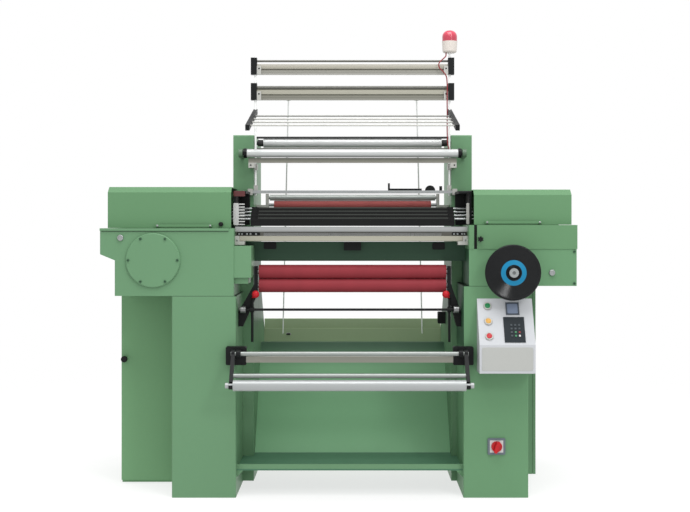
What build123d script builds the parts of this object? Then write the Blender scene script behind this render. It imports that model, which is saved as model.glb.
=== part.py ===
from build123d import *
import math
import os

# Crochet knitting machine, free standing, in millimetres.
# While it is drawn, x runs right from the working centreline, y runs back from the column fronts
# and z runs up from the floor. The finished pieces are then moved so that the middle of the
# footprint is the origin.

# Shared clearances
RUN_FIT = 0.05
SEAT_GAP = 0.3
CUT_OVERRUN = 2.0
END_PLAY = 1.0

# Columns
LEFT_COLUMN_OUTER_X = -705.0
LEFT_COLUMN_INNER_X = -455.0
RIGHT_COLUMN_INNER_X = 433.0
RIGHT_COLUMN_OUTER_X = 686.0
COLUMN_DEPTH = 300.0
LEFT_COLUMN_HEIGHT = 787.0
RIGHT_COLUMN_HEIGHT = 826.0
COLUMN_EDGE_RADIUS = 5.0
GUSSET_LEG = 26.0
GUSSET_DEPTH = 40.0

# Side frames behind the columns
SIDE_FRAME_INNER_X = 411.0
SIDE_FRAME_THICKNESS = 85.0
SIDE_FRAME_BACK_Y = 914.0
SIDE_FRAME_UPPER_BACK_Y = 682.0
SIDE_FRAME_STEP_LOW_Z = 560.0
SIDE_FRAME_STEP_HIGH_Z = 800.0
SIDE_FRAME_HEIGHT = 1438.0
SIDE_FRAME_EDGE_RADIUS = 6.0

# Left cabinet with its door
CABINET_OUTER_X = -953.0
CABINET_FRONT_Y = 280.0
CABINET_BACK_Y = 660.0
CABINET_WALL = 4.0
CABINET_FRONT_RIM = 22.0
DOOR_THICKNESS = 18.0
DOOR_WALL = 3.0
DOOR_TOP_GAP = 10.0
DOOR_BOTTOM_GAP = 12.0
DOOR_SIDE_GAP = 4.0
DOOR_KNOB_DIAMETER = 26.0
DOOR_KNOB_STEM = 10.0
DOOR_KNOB_LENGTH = 24.0
DOOR_KNOB_INSET = 14.0
DOOR_KNOB_Z = 512.0

# Right cabinet
RIGHT_CABINET_OUTER_X = 782.0
RIGHT_CABINET_FRONT_Y = 430.0
RIGHT_CABINET_BACK_Y = 760.0
RIGHT_CABINET_SEAM = 3.0
RIGHT_CABINET_EDGE = 14.0

# Left gear box
GEAR_BOX_LEFT_X = -985.5
GEAR_BOX_FOOT_X = -928.0
GEAR_BOX_INNER_X = -463.0
GEAR_BOX_TOP_Z = 1051.0
GEAR_BOX_NOSE_SHARE = 0.617
GEAR_BOX_SLANT_SHARE = 0.527
GEAR_BOX_DEPTH = 520.0
GEAR_BOX_NOTCH_GAP = 14.0
GEAR_BOX_EDGE_RADIUS = 4.0
LIP_HEIGHT = 10.0
LIP_REACH = 5.0
LIP_SETBACK = 20.0
ROUND_COVER_X = -777.7
ROUND_COVER_SHARE = 0.528
ROUND_COVER_SIZE_SHARE = 0.401
ROUND_COVER_THICKNESS = 10.0
ROUND_COVER_EDGE = 3.0
COVER_BOLT_COUNT = 6
COVER_BOLT_INSET = 10.0
COVER_BOLT_RADIUS = 5.0
COVER_BOLT_HEIGHT = 4.0
COVER_BOLT_SOCKET_RADIUS = 2.6
COVER_BOLT_SOCKET_DEPTH = 2.4
SIGHT_RADIUS = 12.0
SIGHT_HEIGHT = 8.0
SIGHT_LENS_RADIUS = 8.0
SIGHT_LENS_DEPTH = 3.0
LEFT_SIGHT_X = -905.0
LEFT_SIGHT_DROP = 37.0
RIGHT_SIGHT_X = 778.0
RIGHT_SIGHT_DROP = 92.0

# Right head
RIGHT_HEAD_INNER_X = 454.0
RIGHT_HEAD_OUTER_X = 877.5
RIGHT_HEAD_DEPTH = 295.0
RIGHT_HEAD_SEAM_Z = 970.0
RIGHT_HEAD_RISE = 13.0
RIGHT_HEAD_STEP = 2.5
RIGHT_HEAD_SLOT_X = 474.0
RIGHT_HEAD_SLOT_WIDTH = 12.0
RIGHT_HEAD_SLOT_DEPTH = 8.0
HEAD_SCREW_INSET = 10.0
HEAD_KNOB_X = 497.0
HEAD_KNOB_Z = 1009.0
HEAD_KNOB_RADIUS = 11.0
HEAD_KNOB_LENGTH = 22.0
HEAD_KNOB_STEM_RADIUS = 6.0
HEAD_KNOB_STEM = 9.0
HEAD_KNOB_BORE_DEPTH = 20.0
KNOB_FLUTES = 6
KNOB_FLUTE_RADIUS = 3.2

# Lift-up covers over the two heads, hinged along their rear top edge
COVER_FRONT_Y = 30.0
COVER_BACK_Y = 292.0
COVER_WALL = 4.0
COVER_CHAMFER_HEIGHT = 22.0
COVER_CHAMFER_DEPTH = 30.0
COVER_SEAT_LIFT = 1.0
LEFT_COVER_OUTER_X = -961.0
LEFT_COVER_INNER_X = -477.0
LEFT_COVER_HEIGHT = 163.0
RIGHT_COVER_INNER_X = 477.0
RIGHT_COVER_OUTER_X = 860.0
RIGHT_COVER_HEIGHT = 140.0
COVER_BACK_WALL = 6.0
COVER_HINGE_RADIUS = 5.0
COVER_HINGE_PIN_RADIUS = 3.0
COVER_HINGE_KNUCKLE = 60.0
HANDLE_RAIL_HEIGHT = 9.0
HANDLE_RAIL_DEPTH = 6.0
HANDLE_STAND_OFF = 10.0
HANDLE_POST = 12.0
HANDLE_LIFT = 6.0
LEFT_HANDLE_X = -771.0
LEFT_HANDLE_LENGTH = 221.0
RIGHT_HANDLE_X = 520.0
RIGHT_HANDLE_LENGTH = 220.0
LATCH_KNOB_X = -516.0
LATCH_KNOB_LIFT = 16.0
LATCH_KNOB_RADIUS = 9.0
LATCH_KNOB_LENGTH = 14.0

# Weft bars with their end rods and the frames that guide the rods
WEFT_BAR_COUNT = 4
WEFT_BAR_HALF = 408.0
WEFT_BAR_THICKNESS = 8.0
WEFT_BAR_HEIGHT = 34.0
WEFT_BAR_FIRST_Y = 120.0
WEFT_BAR_PITCH_Y = 20.0
WEFT_BAR_LIFT = 9.0
WEFT_BAR_PITCH_Z = 14.0
WEFT_BAR_GROOVE = 8.0
WEFT_BAR_GROOVE_DEPTH = 2.0
WEFT_ROD_DIAMETER = 9.0
WEFT_ROD_DROP = 6.0
WEFT_ROD_RIGHT_X = 520.0
WEFT_ROD_CLAMP = 14.0
WEFT_ROD_CLAMP_LENGTH = 22.0
END_FRAME_OUTER_X = 474.0
END_FRAME_WIDTH = 50.0
END_FRAME_PLATE = 10.0
END_FRAME_FRONT_Y = 95.0
END_FRAME_BACK_Y = 275.0
END_FRAME_HEIGHT = 149.0

# Pattern drum under the left cover
DRUM_X = -640.0
DRUM_LIFT = 62.0
DRUM_CORE_RADIUS = 42.0
DRUM_LOW_LINK = 6.0
DRUM_LINK_STEP = 4.0
DRUM_LINK_WIDTH = 14.0
DRUM_LINK_COUNT = 12
DRUM_LINK_FILL_SHARE = 0.78
DRUM_SHAFT_RADIUS = 10.0
DRUM_FLANGE = 6.0
DRUM_STAND_FRONT_Y = 64.0
DRUM_STAND_BACK_Y = 226.0
DRUM_STAND_THICKNESS = 16.0
DRUM_STAND_HALF = 28.0
DRUM_STAND_HEAD = 22.0
# Chain link heights round the drum in steps, one row for each weft bar
DRUM_LINK_STEPS = (
    (0, 1, 2, 1, 0, 1, 2, 1, 0, 1, 2, 1),
    (2, 1, 0, 1, 2, 1, 0, 1, 2, 1, 0, 1),
    (0, 0, 1, 1, 2, 2, 0, 0, 1, 1, 2, 2),
    (2, 2, 1, 1, 0, 0, 2, 2, 1, 1, 0, 0),
)

# Needle bed
BED_FRONT_Y = 55.0
BED_BACK_Y = 112.0
BED_TOP_Z = 1057.0
BED_FACE_Z = 1036.0
BED_UNDER_Z = 1021.0
BED_REBATE = 15.0
BED_NEEDLE_GROOVE = 4.0
BED_NEEDLE_GROOVE_DEPTH = 6.0
NEEDLE_BAR_FRONT_Y = 60.0
NEEDLE_BAR_DEPTH = 30.0
NEEDLE_BAR_HEIGHT = 21.0
NEEDLE_BAR_STROKE = 12.0
NEEDLE_BAR_LEFT_X = -446.0
NEEDLE_BAR_RIGHT_X = 436.0
NEEDLE_BAR_EDGE = 2.0
END_BLOCK_UNDER = 14.0
END_BLOCK_TOE = 20.0
BEAM_FRONT_Y = 150.0
BEAM_BACK_Y = 245.0
BEAM_TOP_Z = 996.0
BEAM_BOTTOM_Z = 919.0
BEAM_WALL = 8.0
MAIN_SHAFT_Y = 200.0
MAIN_SHAFT_Z = 945.0
MAIN_SHAFT_RADIUS = 15.0
MAIN_SHAFT_BORE_DEPTH = 45.0
LIMIT_BOX_WIDTH = 34.0
LIMIT_BOX_DEPTH = 30.0
LIMIT_BOX_HEIGHT = 52.0
LIMIT_BOX_Y = 600.0
LIMIT_BOX_Z = 628.0
LIMIT_BOX_EDGE = 5.0
SENSOR_WIDTH = 68.0
SENSOR_HEIGHT = 34.0
SENSOR_DEPTH = 22.0
SENSOR_EYE_RADIUS = 5.0
SENSOR_EYE_LENGTH = 4.0

# Take-down rollers, their brackets and the pressure levers
TAKE_DOWN_HALF = 373.0
TAKE_DOWN_Y = 112.5
UPPER_ROLLER_Z = 877.5
LOWER_ROLLER_Z = 822.5
TAKE_DOWN_RADIUS = 27.2
TAKE_DOWN_JOURNAL_RADIUS = 10.0
TAKE_DOWN_END_GAP = 5.0
BRACKET_PLATE = 14.0
BRACKET_FRONT_Y = 95.0
BRACKET_DEPTH = 35.0
BRACKET_TOP_Z = 900.0
BRACKET_KNEE_Z = 790.0
BRACKET_SHOULDER_Z = 828.0
BRACKET_PAD_LOW_Z = 660.0
BRACKET_PAD_HIGH_Z = 715.0
BRACKET_PAD_FOOT = 18.0
GEAR_CASE_INNER_X = -395.0
GEAR_CASE_FRONT_Y = 5.0
GEAR_CASE_BACK_Y = 148.0
GEAR_CASE_TOP_Z = 982.0
GEAR_CASE_BOTTOM_Z = 858.0
GEAR_CASE_SUMP = 24.0
GEAR_CASE_SUMP_INSET = 14.0
GEAR_CASE_EDGE = 5.0
LEVER_SHAFT_Y = 80.0
LEVER_SHAFT_Z = 728.0
LEVER_SHAFT_RADIUS = 5.0
LEVER_LUG_WIDTH = 20.0
LEVER_LUG_RADIUS = 14.0
LEVER_LUG_INSET = 11.0
LEFT_LEVER_X = -398.0
RIGHT_LEVER_X = 384.0
LEVER_ROD_RADIUS = 5.0
LEVER_TOP_Z = 772.0
LEVER_BOTTOM_Z = 600.0
LEVER_COLLAR_RADIUS = 11.0
LEVER_COLLAR_WIDTH = 16.0
LEVER_BALL_RADIUS = 15.0
LEVER_BALL_Y = 58.0
LEVER_BALL_Z = 790.0
LEVER_BALL_INSET = 15.0

# Warp feed roller pair behind the weft bars
FEED_ROLLER_HALF = 354.0
FEED_ROLLER_Y = 450.0
FEED_ROLLER_Z = 1181.0
FEED_ROLLER_RADIUS = 13.0
PULL_ROLLER_HALF = 336.0
PULL_ROLLER_RADIUS = 18.0
PULL_ROLLER_GAP = 0.6
FEED_JOURNAL_RADIUS = 7.0
FEED_PLATE = 12.0
FEED_PLATE_GAP = 5.0
FEED_PLATE_HALF_DEPTH = 22.0
FEED_PLATE_TOP = 16.0
FEED_PLATE_FOOT = 18.0

# Let-off rollers on the side frames
FRONT_LET_OFF_HALF = 432.0
FRONT_LET_OFF_Y = 230.0
FRONT_LET_OFF_Z = 1358.0
FRONT_LET_OFF_RADIUS = 17.0
LET_OFF_CAP = 14.0
LET_OFF_CAP_RADIUS = 20.0
LET_OFF_JOURNAL_RADIUS = 8.0
LET_OFF_ARM_WIDTH = 16.0
LET_OFF_ARM_GAP = 4.0
LET_OFF_ARM_RADIUS = 17.0
REAR_LET_OFF_HALF = 375.0
REAR_LET_OFF_Y = 370.0
REAR_LET_OFF_Z = 1409.0
REAR_LET_OFF_RADIUS = 20.0
REAR_LET_OFF_COLLAR = 24.0
REAR_LET_OFF_COLLAR_RADIUS = 14.0
REAR_LET_OFF_SOCKET = 22.0
STRIPPER_FORWARD = 13.0
STRIPPER_LIFT = 22.5
STRIPPER_RADIUS = 4.5
LET_OFF_RAIL_HALF = 426.0
LET_OFF_RAIL_FRONT_Y = 222.0
LET_OFF_RAIL_DEPTH = 18.0
LET_OFF_RAIL_HEIGHT = 20.0
LET_OFF_RAIL_DROP = 2.5
LET_OFF_BLOCK_HEIGHT = 20.0
LET_OFF_BLOCK_WIDTH = 24.0

# Guide bar and stop motion above the weft bars
GUIDE_BAR_HALF = 414.0
GUIDE_BAR_SIZE = 12.0
GUIDE_BAR_BACK_GAP = 4.0
GUIDE_BAR_Z = 1201.0
GUIDE_BLOCK_WIDTH = 20.0
GUIDE_BLOCK_HEIGHT = 26.0
STOP_RAIL_LEFT_X = 147.0
STOP_RAIL_LENGTH = 140.0
STOP_RAIL_HEIGHT = 8.0
STOP_RAIL_POST = 8.0
STOP_RAIL_POST_HEIGHT = 30.0
STOP_DISC_X = 322.0
STOP_DISC_RADIUS = 21.0
STOP_DISC_WIDTH = 10.0
STOP_KNOB_X = 366.0
STOP_KNOB_RADIUS = 9.0

# Mast with its guide bars, rack and stay rods
MAST_POLE_X = 405.0
MAST_POLE_Y = 312.0
MAST_POLE_RADIUS = 5.0
MAST_POLE_BOTTOM_Z = 1186.0
MAST_RISE = 343.0
MAST_BRACKET_INNER = 7.0
MAST_BRACKET_OUTER = 18.0
MAST_BRACKET_FRONT = 16.0
MAST_BRACKET_BACK = 12.0
MAST_BRACKET_HEIGHT = 70.0
UPPER_UNIT_RISE = 252.0
LOWER_UNIT_RISE = 146.0
MAST_BAR_HEIGHT = 44.0
MAST_BAR_DEPTH = 12.0
MAST_BAR_GROOVE = 5.0
MAST_BAR_GROOVE_DEPTH = 3.0
MAST_THIN_BAR_RADIUS = 4.5
MAST_THIN_BAR_LIFT = 13.0
MAST_ROUND_BAR_RADIUS = 7.5
MAST_ROUND_BAR_LIFT = 8.0
MAST_CLAMP_WIDTH = 18.0
MAST_CLAMP_DEPTH = 8.0
MAST_CLAMP_HEIGHT = 36.0
POLE_CLAMP_HEIGHT = 26.0
POLE_CLAMP_DEPTH = 24.0
POLE_CLAMP_INNER = 9.0
POLE_CLAMP_LEVELS_Z = (1216.0, 1306.0)
RACK_ARM_RISE = 96.0
RACK_ARM_REACH = 372.0
RACK_ARM_DROP = 96.0
RACK_ARM_WIDTH = 16.0
RACK_ARM_HEIGHT = 22.0
RACK_ARM_TAIL = 14.0
RACK_ROD_RADIUS = 3.0
RACK_ROD_SHARES = (0.26, 0.46, 0.66, 0.86)
STAY_TOP_X = 268.0
STAY_BOTTOM_X = 325.0
STAY_RADIUS = 3.0
STAY_BOTTOM_Z = 548.0
STAY_BLOCK = 16.0

# Warning lamp on the right pole and its cable
LAMP_BASE_HEIGHT = 48.0
LAMP_BASE_FOOT_RADIUS = 29.0
LAMP_BASE_RADIUS = 32.0
LAMP_BASE_EDGE = 9.0
LAMP_LENS_RADIUS = 31.0
LAMP_LENS_HEIGHT = 46.0
LAMP_LENS_CROWN = 27.0
LAMP_SOCKET_DEPTH = 12.0
LAMP_CABLE_RADIUS = 2.5
CABLE_RUN_SHARE = 0.45
# The route of the lamp lead to the right side frame: x, y and the drop below the lamp's foot
LAMP_CABLE_ROUTE = (
    (389.0, 300.0, 0.0),
    (389.0, 300.0, 15.0),
    (372.0, 290.0, 31.0),
    (357.0, 286.0, 46.0),
    (359.0, 285.0, 65.0),
    (377.0, 286.0, 81.0),
    (391.0, 289.0, 101.0),
    (393.5, 290.5, 141.0),
    (392.5, 290.0, 201.0),
    (393.5, 291.0, 261.0),
    (392.5, 290.0, 321.0),
    (394.5, 288.0, 381.0),
    (401.0, 285.0, 409.0),
    (415.0, 284.0, 424.0),
    (425.0, 284.0, 429.0),
    (425.0, 300.0, 429.0),
)

# Fabric chute with its tray, and the tie at the back
TRAY_FRONT_Y = 30.0
TRAY_LIP_Z = 125.0
TRAY_FLOOR_Z = 100.0
TRAY_FLOOR_BACK_Y = 360.0
CHUTE_TOP_Y = 690.0
CHUTE_TOP_Z = 533.0
CHUTE_FLANGE = 30.0
TRAY_SHEET = 4.0
REAR_TIE_FRONT_Y = 876.0
REAR_TIE_BOTTOM_Z = 500.0
REAR_TIE_SEAM_Z = 582.0
REAR_TIE_TOP_Z = 626.0
REAR_TIE_LEDGE = 12.0
REAR_TIE_HOLE_X = -298.0
REAR_TIE_HOLE_Z = 556.0
REAR_TIE_HOLE_LENGTH = 22.0
REAR_TIE_HOLE_HEIGHT = 10.0

# Fabric winding unit in front of the columns
WIND_BRACKET_OUT = 36.0
WIND_BRACKET_IN = 43.0
WIND_BRACKET_LOW_Z = 521.0
WIND_BRACKET_HIGH_Z = 592.0
WIND_BRACKET_DEPTH = 32.0
WIND_BRACKET_EDGE = 5.0
WIND_TUBE_Y = -50.0
WIND_TUBE_Z = 567.0
WIND_TUBE_RADIUS = 8.5
WIND_TUBE_END = 2.0
WIND_LUG_WIDTH = 18.0
WIND_LUG_RADIUS = 15.0
WIND_RAIL_LOW_Z = 531.0
WIND_RAIL_HEIGHT = 23.0
WIND_RAIL_DEPTH = 20.0
WIND_ROLLER_HALF = 440.0
WIND_ROLLER_RADIUS = 21.0
WIND_ROLLER_FORWARD = 90.0
WIND_ROLLER_DROP = 110.0
WIND_ARM_GAP = 2.0
WIND_ARM_WIDTH = 14.0
WIND_ARM_HALF = 12.0
WIND_ARM_BOSS_RADIUS = 16.0
WIND_STAY_SHARE = 0.70
WIND_STAY_RADIUS = 9.0
WIND_JOURNAL_RADIUS = 8.0
WIND_HOOK_RADIUS = 15.0
WIND_NUT_RADIUS = 11.0
WIND_NUT_LENGTH = 12.0

# Control console on the right column
CONSOLE_LEFT_X = 485.0
CONSOLE_RIGHT_X = 699.0
CONSOLE_TOP_Z = 777.0
CONSOLE_KNEE_Z = 606.0
CONSOLE_BOTTOM_Z = 496.0
CONSOLE_REACH = 97.0
CONSOLE_EDGE = 2.5
BUTTON_X = 523.7
BUTTON_SHARES = (0.17, 0.50, 0.82)
BUTTON_BEZEL_RADIUS = 14.5
BUTTON_BEZEL_HEIGHT = 5.0
BUTTON_RADIUS = 10.5
BUTTON_PROUD = 7.0
BUTTON_STEM = 12.0
BUTTON_TRAVEL = 4.0
DISPLAY_LEFT_X = 594.0
DISPLAY_WIDTH = 52.0
DISPLAY_TOP_SHARE = 0.09
DISPLAY_BOTTOM_SHARE = 0.36
KEYPAD_LEFT_X = 582.0
KEYPAD_WIDTH = 80.0
KEYPAD_TOP_SHARE = 0.41
KEYPAD_BOTTOM_SHARE = 0.95
PANEL_PLATE = 3.0
DISPLAY_FRAME = 5.0
KEY_COLUMNS = 3
KEY_ROWS = 4
KEY_SIZE = 8.0
KEY_HEIGHT = 1.5
KEY_PITCH = 15.0
KEY_FIELD_OFFSET = 4.0

# Main switch on the right column
SWITCH_X = 561.0
SWITCH_Z = 201.0
SWITCH_WIDTH = 69.0
SWITCH_HEIGHT = 64.0
SWITCH_PLATE = 6.0
SWITCH_CORNER = 5.0
SWITCH_DISC_RADIUS = 21.0
SWITCH_DISC_HEIGHT = 7.0
SWITCH_GRIP_LENGTH = 46.0
SWITCH_GRIP_WIDTH = 14.0
SWITCH_GRIP_HEIGHT = 18.0
SWITCH_TILT = 20.0
SWITCH_SPINDLE_RADIUS = 5.0
SWITCH_SPINDLE_DEPTH = 20.0

# Handwheel on the right head
WHEEL_X = 616.0
WHEEL_Z = 881.0
WHEEL_RADIUS = 108.0
WHEEL_RIM_HALF = 11.0
WHEEL_RIM_Y = -74.0
WHEEL_HUB_Y = -98.0
WHEEL_HUB_RADIUS = 31.0
WHEEL_WEB = 10.0
WHEEL_BACK_HUB_RADIUS = 26.0
WHEEL_BACK_HUB_Y = -6.0
WHEEL_SHAFT_RADIUS = 12.0
WHEEL_SHAFT_DEPTH = 50.0
WHEEL_BOSS_RADIUS = 18.0
WHEEL_BOSS_HEIGHT = 7.0
WHEEL_BOSS_HOLE_RADIUS = 7.0

# Motor and belt drive in the left cabinet
MOTOR_X = -838.0
MOTOR_Y = 460.0
MOTOR_Z = 150.0
MOTOR_RADIUS = 75.0
MOTOR_LENGTH = 130.0
MOTOR_FIN_COUNT = 16
MOTOR_FIN_HEIGHT = 8.0
MOTOR_FIN_WIDTH = 5.0
MOTOR_FOOT_WIDTH = 110.0
MOTOR_FOOT_LENGTH = 90.0
MOTOR_SHAFT_RADIUS = 12.0
MOTOR_SHAFT_LENGTH = 48.0
MOTOR_PULLEY_RADIUS = 40.0
MAIN_PULLEY_RADIUS = 100.0
MAIN_PULLEY_Z = 620.0
PULLEY_WIDTH = 26.0
PULLEY_GAP = 8.0
PULLEY_SIDE_GAP = 4.0
PULLEY_WEB = 10.0
PULLEY_RIM = 12.0
PULLEY_HUB_RADIUS = 26.0
BELT_WIDTH = 20.0
BELT_THICKNESS = 7.0
PULLEY_BEARING_RADIUS = 34.0
PULLEY_SHAFT_RADIUS = 14.0

# Derived places
GEAR_BOX_HEIGHT = GEAR_BOX_TOP_Z - LEFT_COLUMN_HEIGHT
GEAR_BOX_NOSE_Z = LEFT_COLUMN_HEIGHT + GEAR_BOX_NOSE_SHARE * GEAR_BOX_HEIGHT
GEAR_BOX_SLANT_Z = LEFT_COLUMN_HEIGHT + GEAR_BOX_SLANT_SHARE * GEAR_BOX_HEIGHT
ROUND_COVER_Z = LEFT_COLUMN_HEIGHT + ROUND_COVER_SHARE * GEAR_BOX_HEIGHT
ROUND_COVER_RADIUS = ROUND_COVER_SIZE_SHARE * GEAR_BOX_HEIGHT
LEFT_SIGHT_Z = GEAR_BOX_TOP_Z - LEFT_SIGHT_DROP
RIGHT_SIGHT_Z = RIGHT_HEAD_SEAM_Z - RIGHT_SIGHT_DROP
RIGHT_HEAD_TOP_Z = GEAR_BOX_TOP_Z + RIGHT_HEAD_RISE
LEFT_COVER_TOP_Z = GEAR_BOX_TOP_Z + LEFT_COVER_HEIGHT
RIGHT_COVER_TOP_Z = RIGHT_HEAD_TOP_Z + RIGHT_COVER_HEIGHT
WEFT_BAR_FIRST_Z = GEAR_BOX_TOP_Z + WEFT_BAR_LIFT
END_FRAME_TOP_Z = GEAR_BOX_TOP_Z + END_FRAME_HEIGHT
DRUM_Z = GEAR_BOX_TOP_Z + DRUM_LIFT
MAST_TOP_Z = SIDE_FRAME_HEIGHT + MAST_RISE
UPPER_UNIT_Z = SIDE_FRAME_HEIGHT + UPPER_UNIT_RISE
LOWER_UNIT_Z = SIDE_FRAME_HEIGHT + LOWER_UNIT_RISE
RACK_ARM_ROOT_Z = SIDE_FRAME_HEIGHT + RACK_ARM_RISE
WIND_CENTRE_X = (LEFT_COLUMN_INNER_X + RIGHT_COLUMN_INNER_X) / 2
WIND_ROLLER_Y = WIND_TUBE_Y - WIND_ROLLER_FORWARD
WIND_ROLLER_Z = WIND_TUBE_Z - WIND_ROLLER_DROP
NEEDLE_BAR_TOP_Z = BED_UNDER_Z - SEAT_GAP
MAST_BAR_HALF = MAST_POLE_X - MAST_BRACKET_INNER
PULL_ROLLER_Z = FEED_ROLLER_Z - FEED_ROLLER_RADIUS - PULL_ROLLER_RADIUS - PULL_ROLLER_GAP
DRUM_TOP_RADIUS = DRUM_CORE_RADIUS + DRUM_LOW_LINK + 2 * DRUM_LINK_STEP
PULLEY_LEFT_X = MOTOR_X + MOTOR_LENGTH / 2 + PULLEY_GAP
PULLEY_MIDDLE_X = PULLEY_LEFT_X + PULLEY_WIDTH / 2
FRONT_REACH_Y = WIND_ROLLER_Y - WIND_ROLLER_RADIUS
ROW_SHIFT_X = -(GEAR_BOX_LEFT_X + RIGHT_HEAD_OUTER_X) / 2
ROW_SHIFT_Y = -(FRONT_REACH_Y + SIDE_FRAME_BACK_Y) / 2


def block(x0, x1, y0, y1, z0, z1):
    """A box between two corners."""
    size = Box(abs(x1 - x0), abs(y1 - y0), abs(z1 - z0))
    return Pos((x0 + x1) / 2, (y0 + y1) / 2, (z0 + z1) / 2) * size


def rod_x(x0, x1, y, z, radius):
    """A round bar along x."""
    return Pos((x0 + x1) / 2, y, z) * Rot(0, 90, 0) * Cylinder(radius, abs(x1 - x0))


def rod_y(x, y0, y1, z, radius):
    """A round bar along y."""
    return Pos(x, (y0 + y1) / 2, z) * Rot(90, 0, 0) * Cylinder(radius, abs(y1 - y0))


def rod_z(x, y, z0, z1, radius):
    """A round bar along z."""
    return Pos(x, y, (z0 + z1) / 2) * Cylinder(radius, abs(z1 - z0))


def rod_between(start, end, radius):
    """A round bar from one point to another."""
    line = Line(start, end)
    return sweep(Plane(line @ 0, z_dir=line % 0) * Circle(radius), path=line)


def prism_x(outline, x0, x1):
    """An outline of (y, z) points carried along x."""
    face = make_face(Polyline([(0, y, z) for y, z in outline], close=True))
    return Pos(min(x0, x1), 0, 0) * extrude(face, amount=abs(x1 - x0), dir=(1, 0, 0))


def prism_y(outline, y0, y1):
    """An outline of (x, z) points carried along y."""
    face = make_face(Polyline([(x, 0, z) for x, z in outline], close=True))
    return Pos(0, min(y0, y1), 0) * extrude(face, amount=abs(y1 - y0), dir=(0, 1, 0))


def folded_outline(points, thickness):
    """The outline of a sheet that follows a folded line and thickens to its left."""
    runs = [(b[0] - a[0], b[1] - a[1]) for a, b in zip(points, points[1:])]
    lengths = [math.hypot(u, v) for u, v in runs]
    normals = [(-v / n, u / n) for (u, v), n in zip(runs, lengths)]
    befores = [normals[0]] + normals
    afters = normals + [normals[-1]]
    back = []
    for (u, v), (a, b), (c, d) in zip(points, befores, afters):
        reach = thickness / (1 + a * c + b * d)
        back.append((u + (a + c) * reach, v + (b + d) * reach))
    return list(points) + back[::-1]


def group(solids):
    """Separate solids in one node."""
    return Compound([solid for piece in solids for solid in piece.solids()])


def mirror_sides(make):
    """A group of the left and the right copy of a piece that is made for a side of -1 or 1."""
    return group([make(-1), make(1)])


def side_block(side, x_near, x_far, y0, y1, z0, z1):
    """A box given by its distances from the centreline, on one side of it."""
    return block(side * x_near, side * x_far, y0, y1, z0, z1)


def column(outer_x, inner_x, height):
    """A box column with rounded front edges and a gusset under the tray."""
    body = block(outer_x, inner_x, 0, COLUMN_DEPTH, 0, height)
    front_edges = body.edges().filter_by(Axis.Z).group_by(Axis.Y)[0]
    body = fillet(front_edges, COLUMN_EDGE_RADIUS)
    toe_x = inner_x + math.copysign(GUSSET_LEG, inner_x - outer_x)
    corner = [(inner_x, TRAY_FLOOR_Z), (toe_x, TRAY_FLOOR_Z), (inner_x, TRAY_FLOOR_Z - GUSSET_LEG)]
    return body + prism_y(corner, TRAY_FRONT_Y, TRAY_FRONT_Y + GUSSET_DEPTH)


def right_column():
    """The right column, bored for the spindle of the main switch."""
    spindle = rod_y(SWITCH_X, -CUT_OVERRUN, SWITCH_SPINDLE_DEPTH, SWITCH_Z, SWITCH_SPINDLE_RADIUS + RUN_FIT)
    return column(RIGHT_COLUMN_OUTER_X, RIGHT_COLUMN_INNER_X, RIGHT_COLUMN_HEIGHT) - spindle


def side_frame(side):
    """A side frame from the floor to the let-off rollers, bored for the rear one."""
    outline = [
        (COLUMN_DEPTH, 0),
        (SIDE_FRAME_BACK_Y, 0),
        (SIDE_FRAME_BACK_Y, SIDE_FRAME_STEP_LOW_Z),
        (SIDE_FRAME_UPPER_BACK_Y, SIDE_FRAME_STEP_HIGH_Z),
        (SIDE_FRAME_UPPER_BACK_Y, SIDE_FRAME_HEIGHT),
        (COLUMN_DEPTH, SIDE_FRAME_HEIGHT),
    ]
    near = side * SIDE_FRAME_INNER_X
    body = prism_x(outline, near, side * (SIDE_FRAME_INNER_X + SIDE_FRAME_THICKNESS))
    top_edges = body.edges().filter_by(Axis.X).group_by(Axis.Z)[-1]
    body = fillet(top_edges, SIDE_FRAME_EDGE_RADIUS)
    socket_start = near - side * CUT_OVERRUN
    socket_end = near + side * REAR_LET_OFF_SOCKET
    socket_radius = LET_OFF_JOURNAL_RADIUS + RUN_FIT
    return body - rod_x(socket_start, socket_end, REAR_LET_OFF_Y, REAR_LET_OFF_Z, socket_radius)


def left_cabinet():
    """The hollow drive cabinet with a rim round its door opening and the pulley bearing."""
    x0 = CABINET_OUTER_X
    x1 = LEFT_COLUMN_OUTER_X
    y0 = CABINET_FRONT_Y
    y1 = CABINET_BACK_Y
    wall = CABINET_WALL
    top = LEFT_COLUMN_HEIGHT
    body = block(x0, x1, y0, y1, 0, top)
    body -= block(x0 + wall, x1 - wall, y0 + wall, y1 - wall, wall, top - wall)
    rim = CABINET_FRONT_RIM
    body -= block(x0 + rim, x1 - rim, y0 - CUT_OVERRUN, y0 + wall + CUT_OVERRUN, rim, top - rim)
    bearing_x = PULLEY_LEFT_X + PULLEY_WIDTH + PULLEY_SIDE_GAP
    body += rod_x(bearing_x, x1 - wall, MOTOR_Y, MAIN_PULLEY_Z, PULLEY_BEARING_RADIUS)
    return body - rod_x(bearing_x - CUT_OVERRUN, x1 - wall, MOTOR_Y, MAIN_PULLEY_Z,
                        PULLEY_SHAFT_RADIUS + RUN_FIT)


def door_front_y():
    """The front of the closed cabinet door."""
    return CABINET_FRONT_Y - SEAT_GAP - DOOR_THICKNESS


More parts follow.
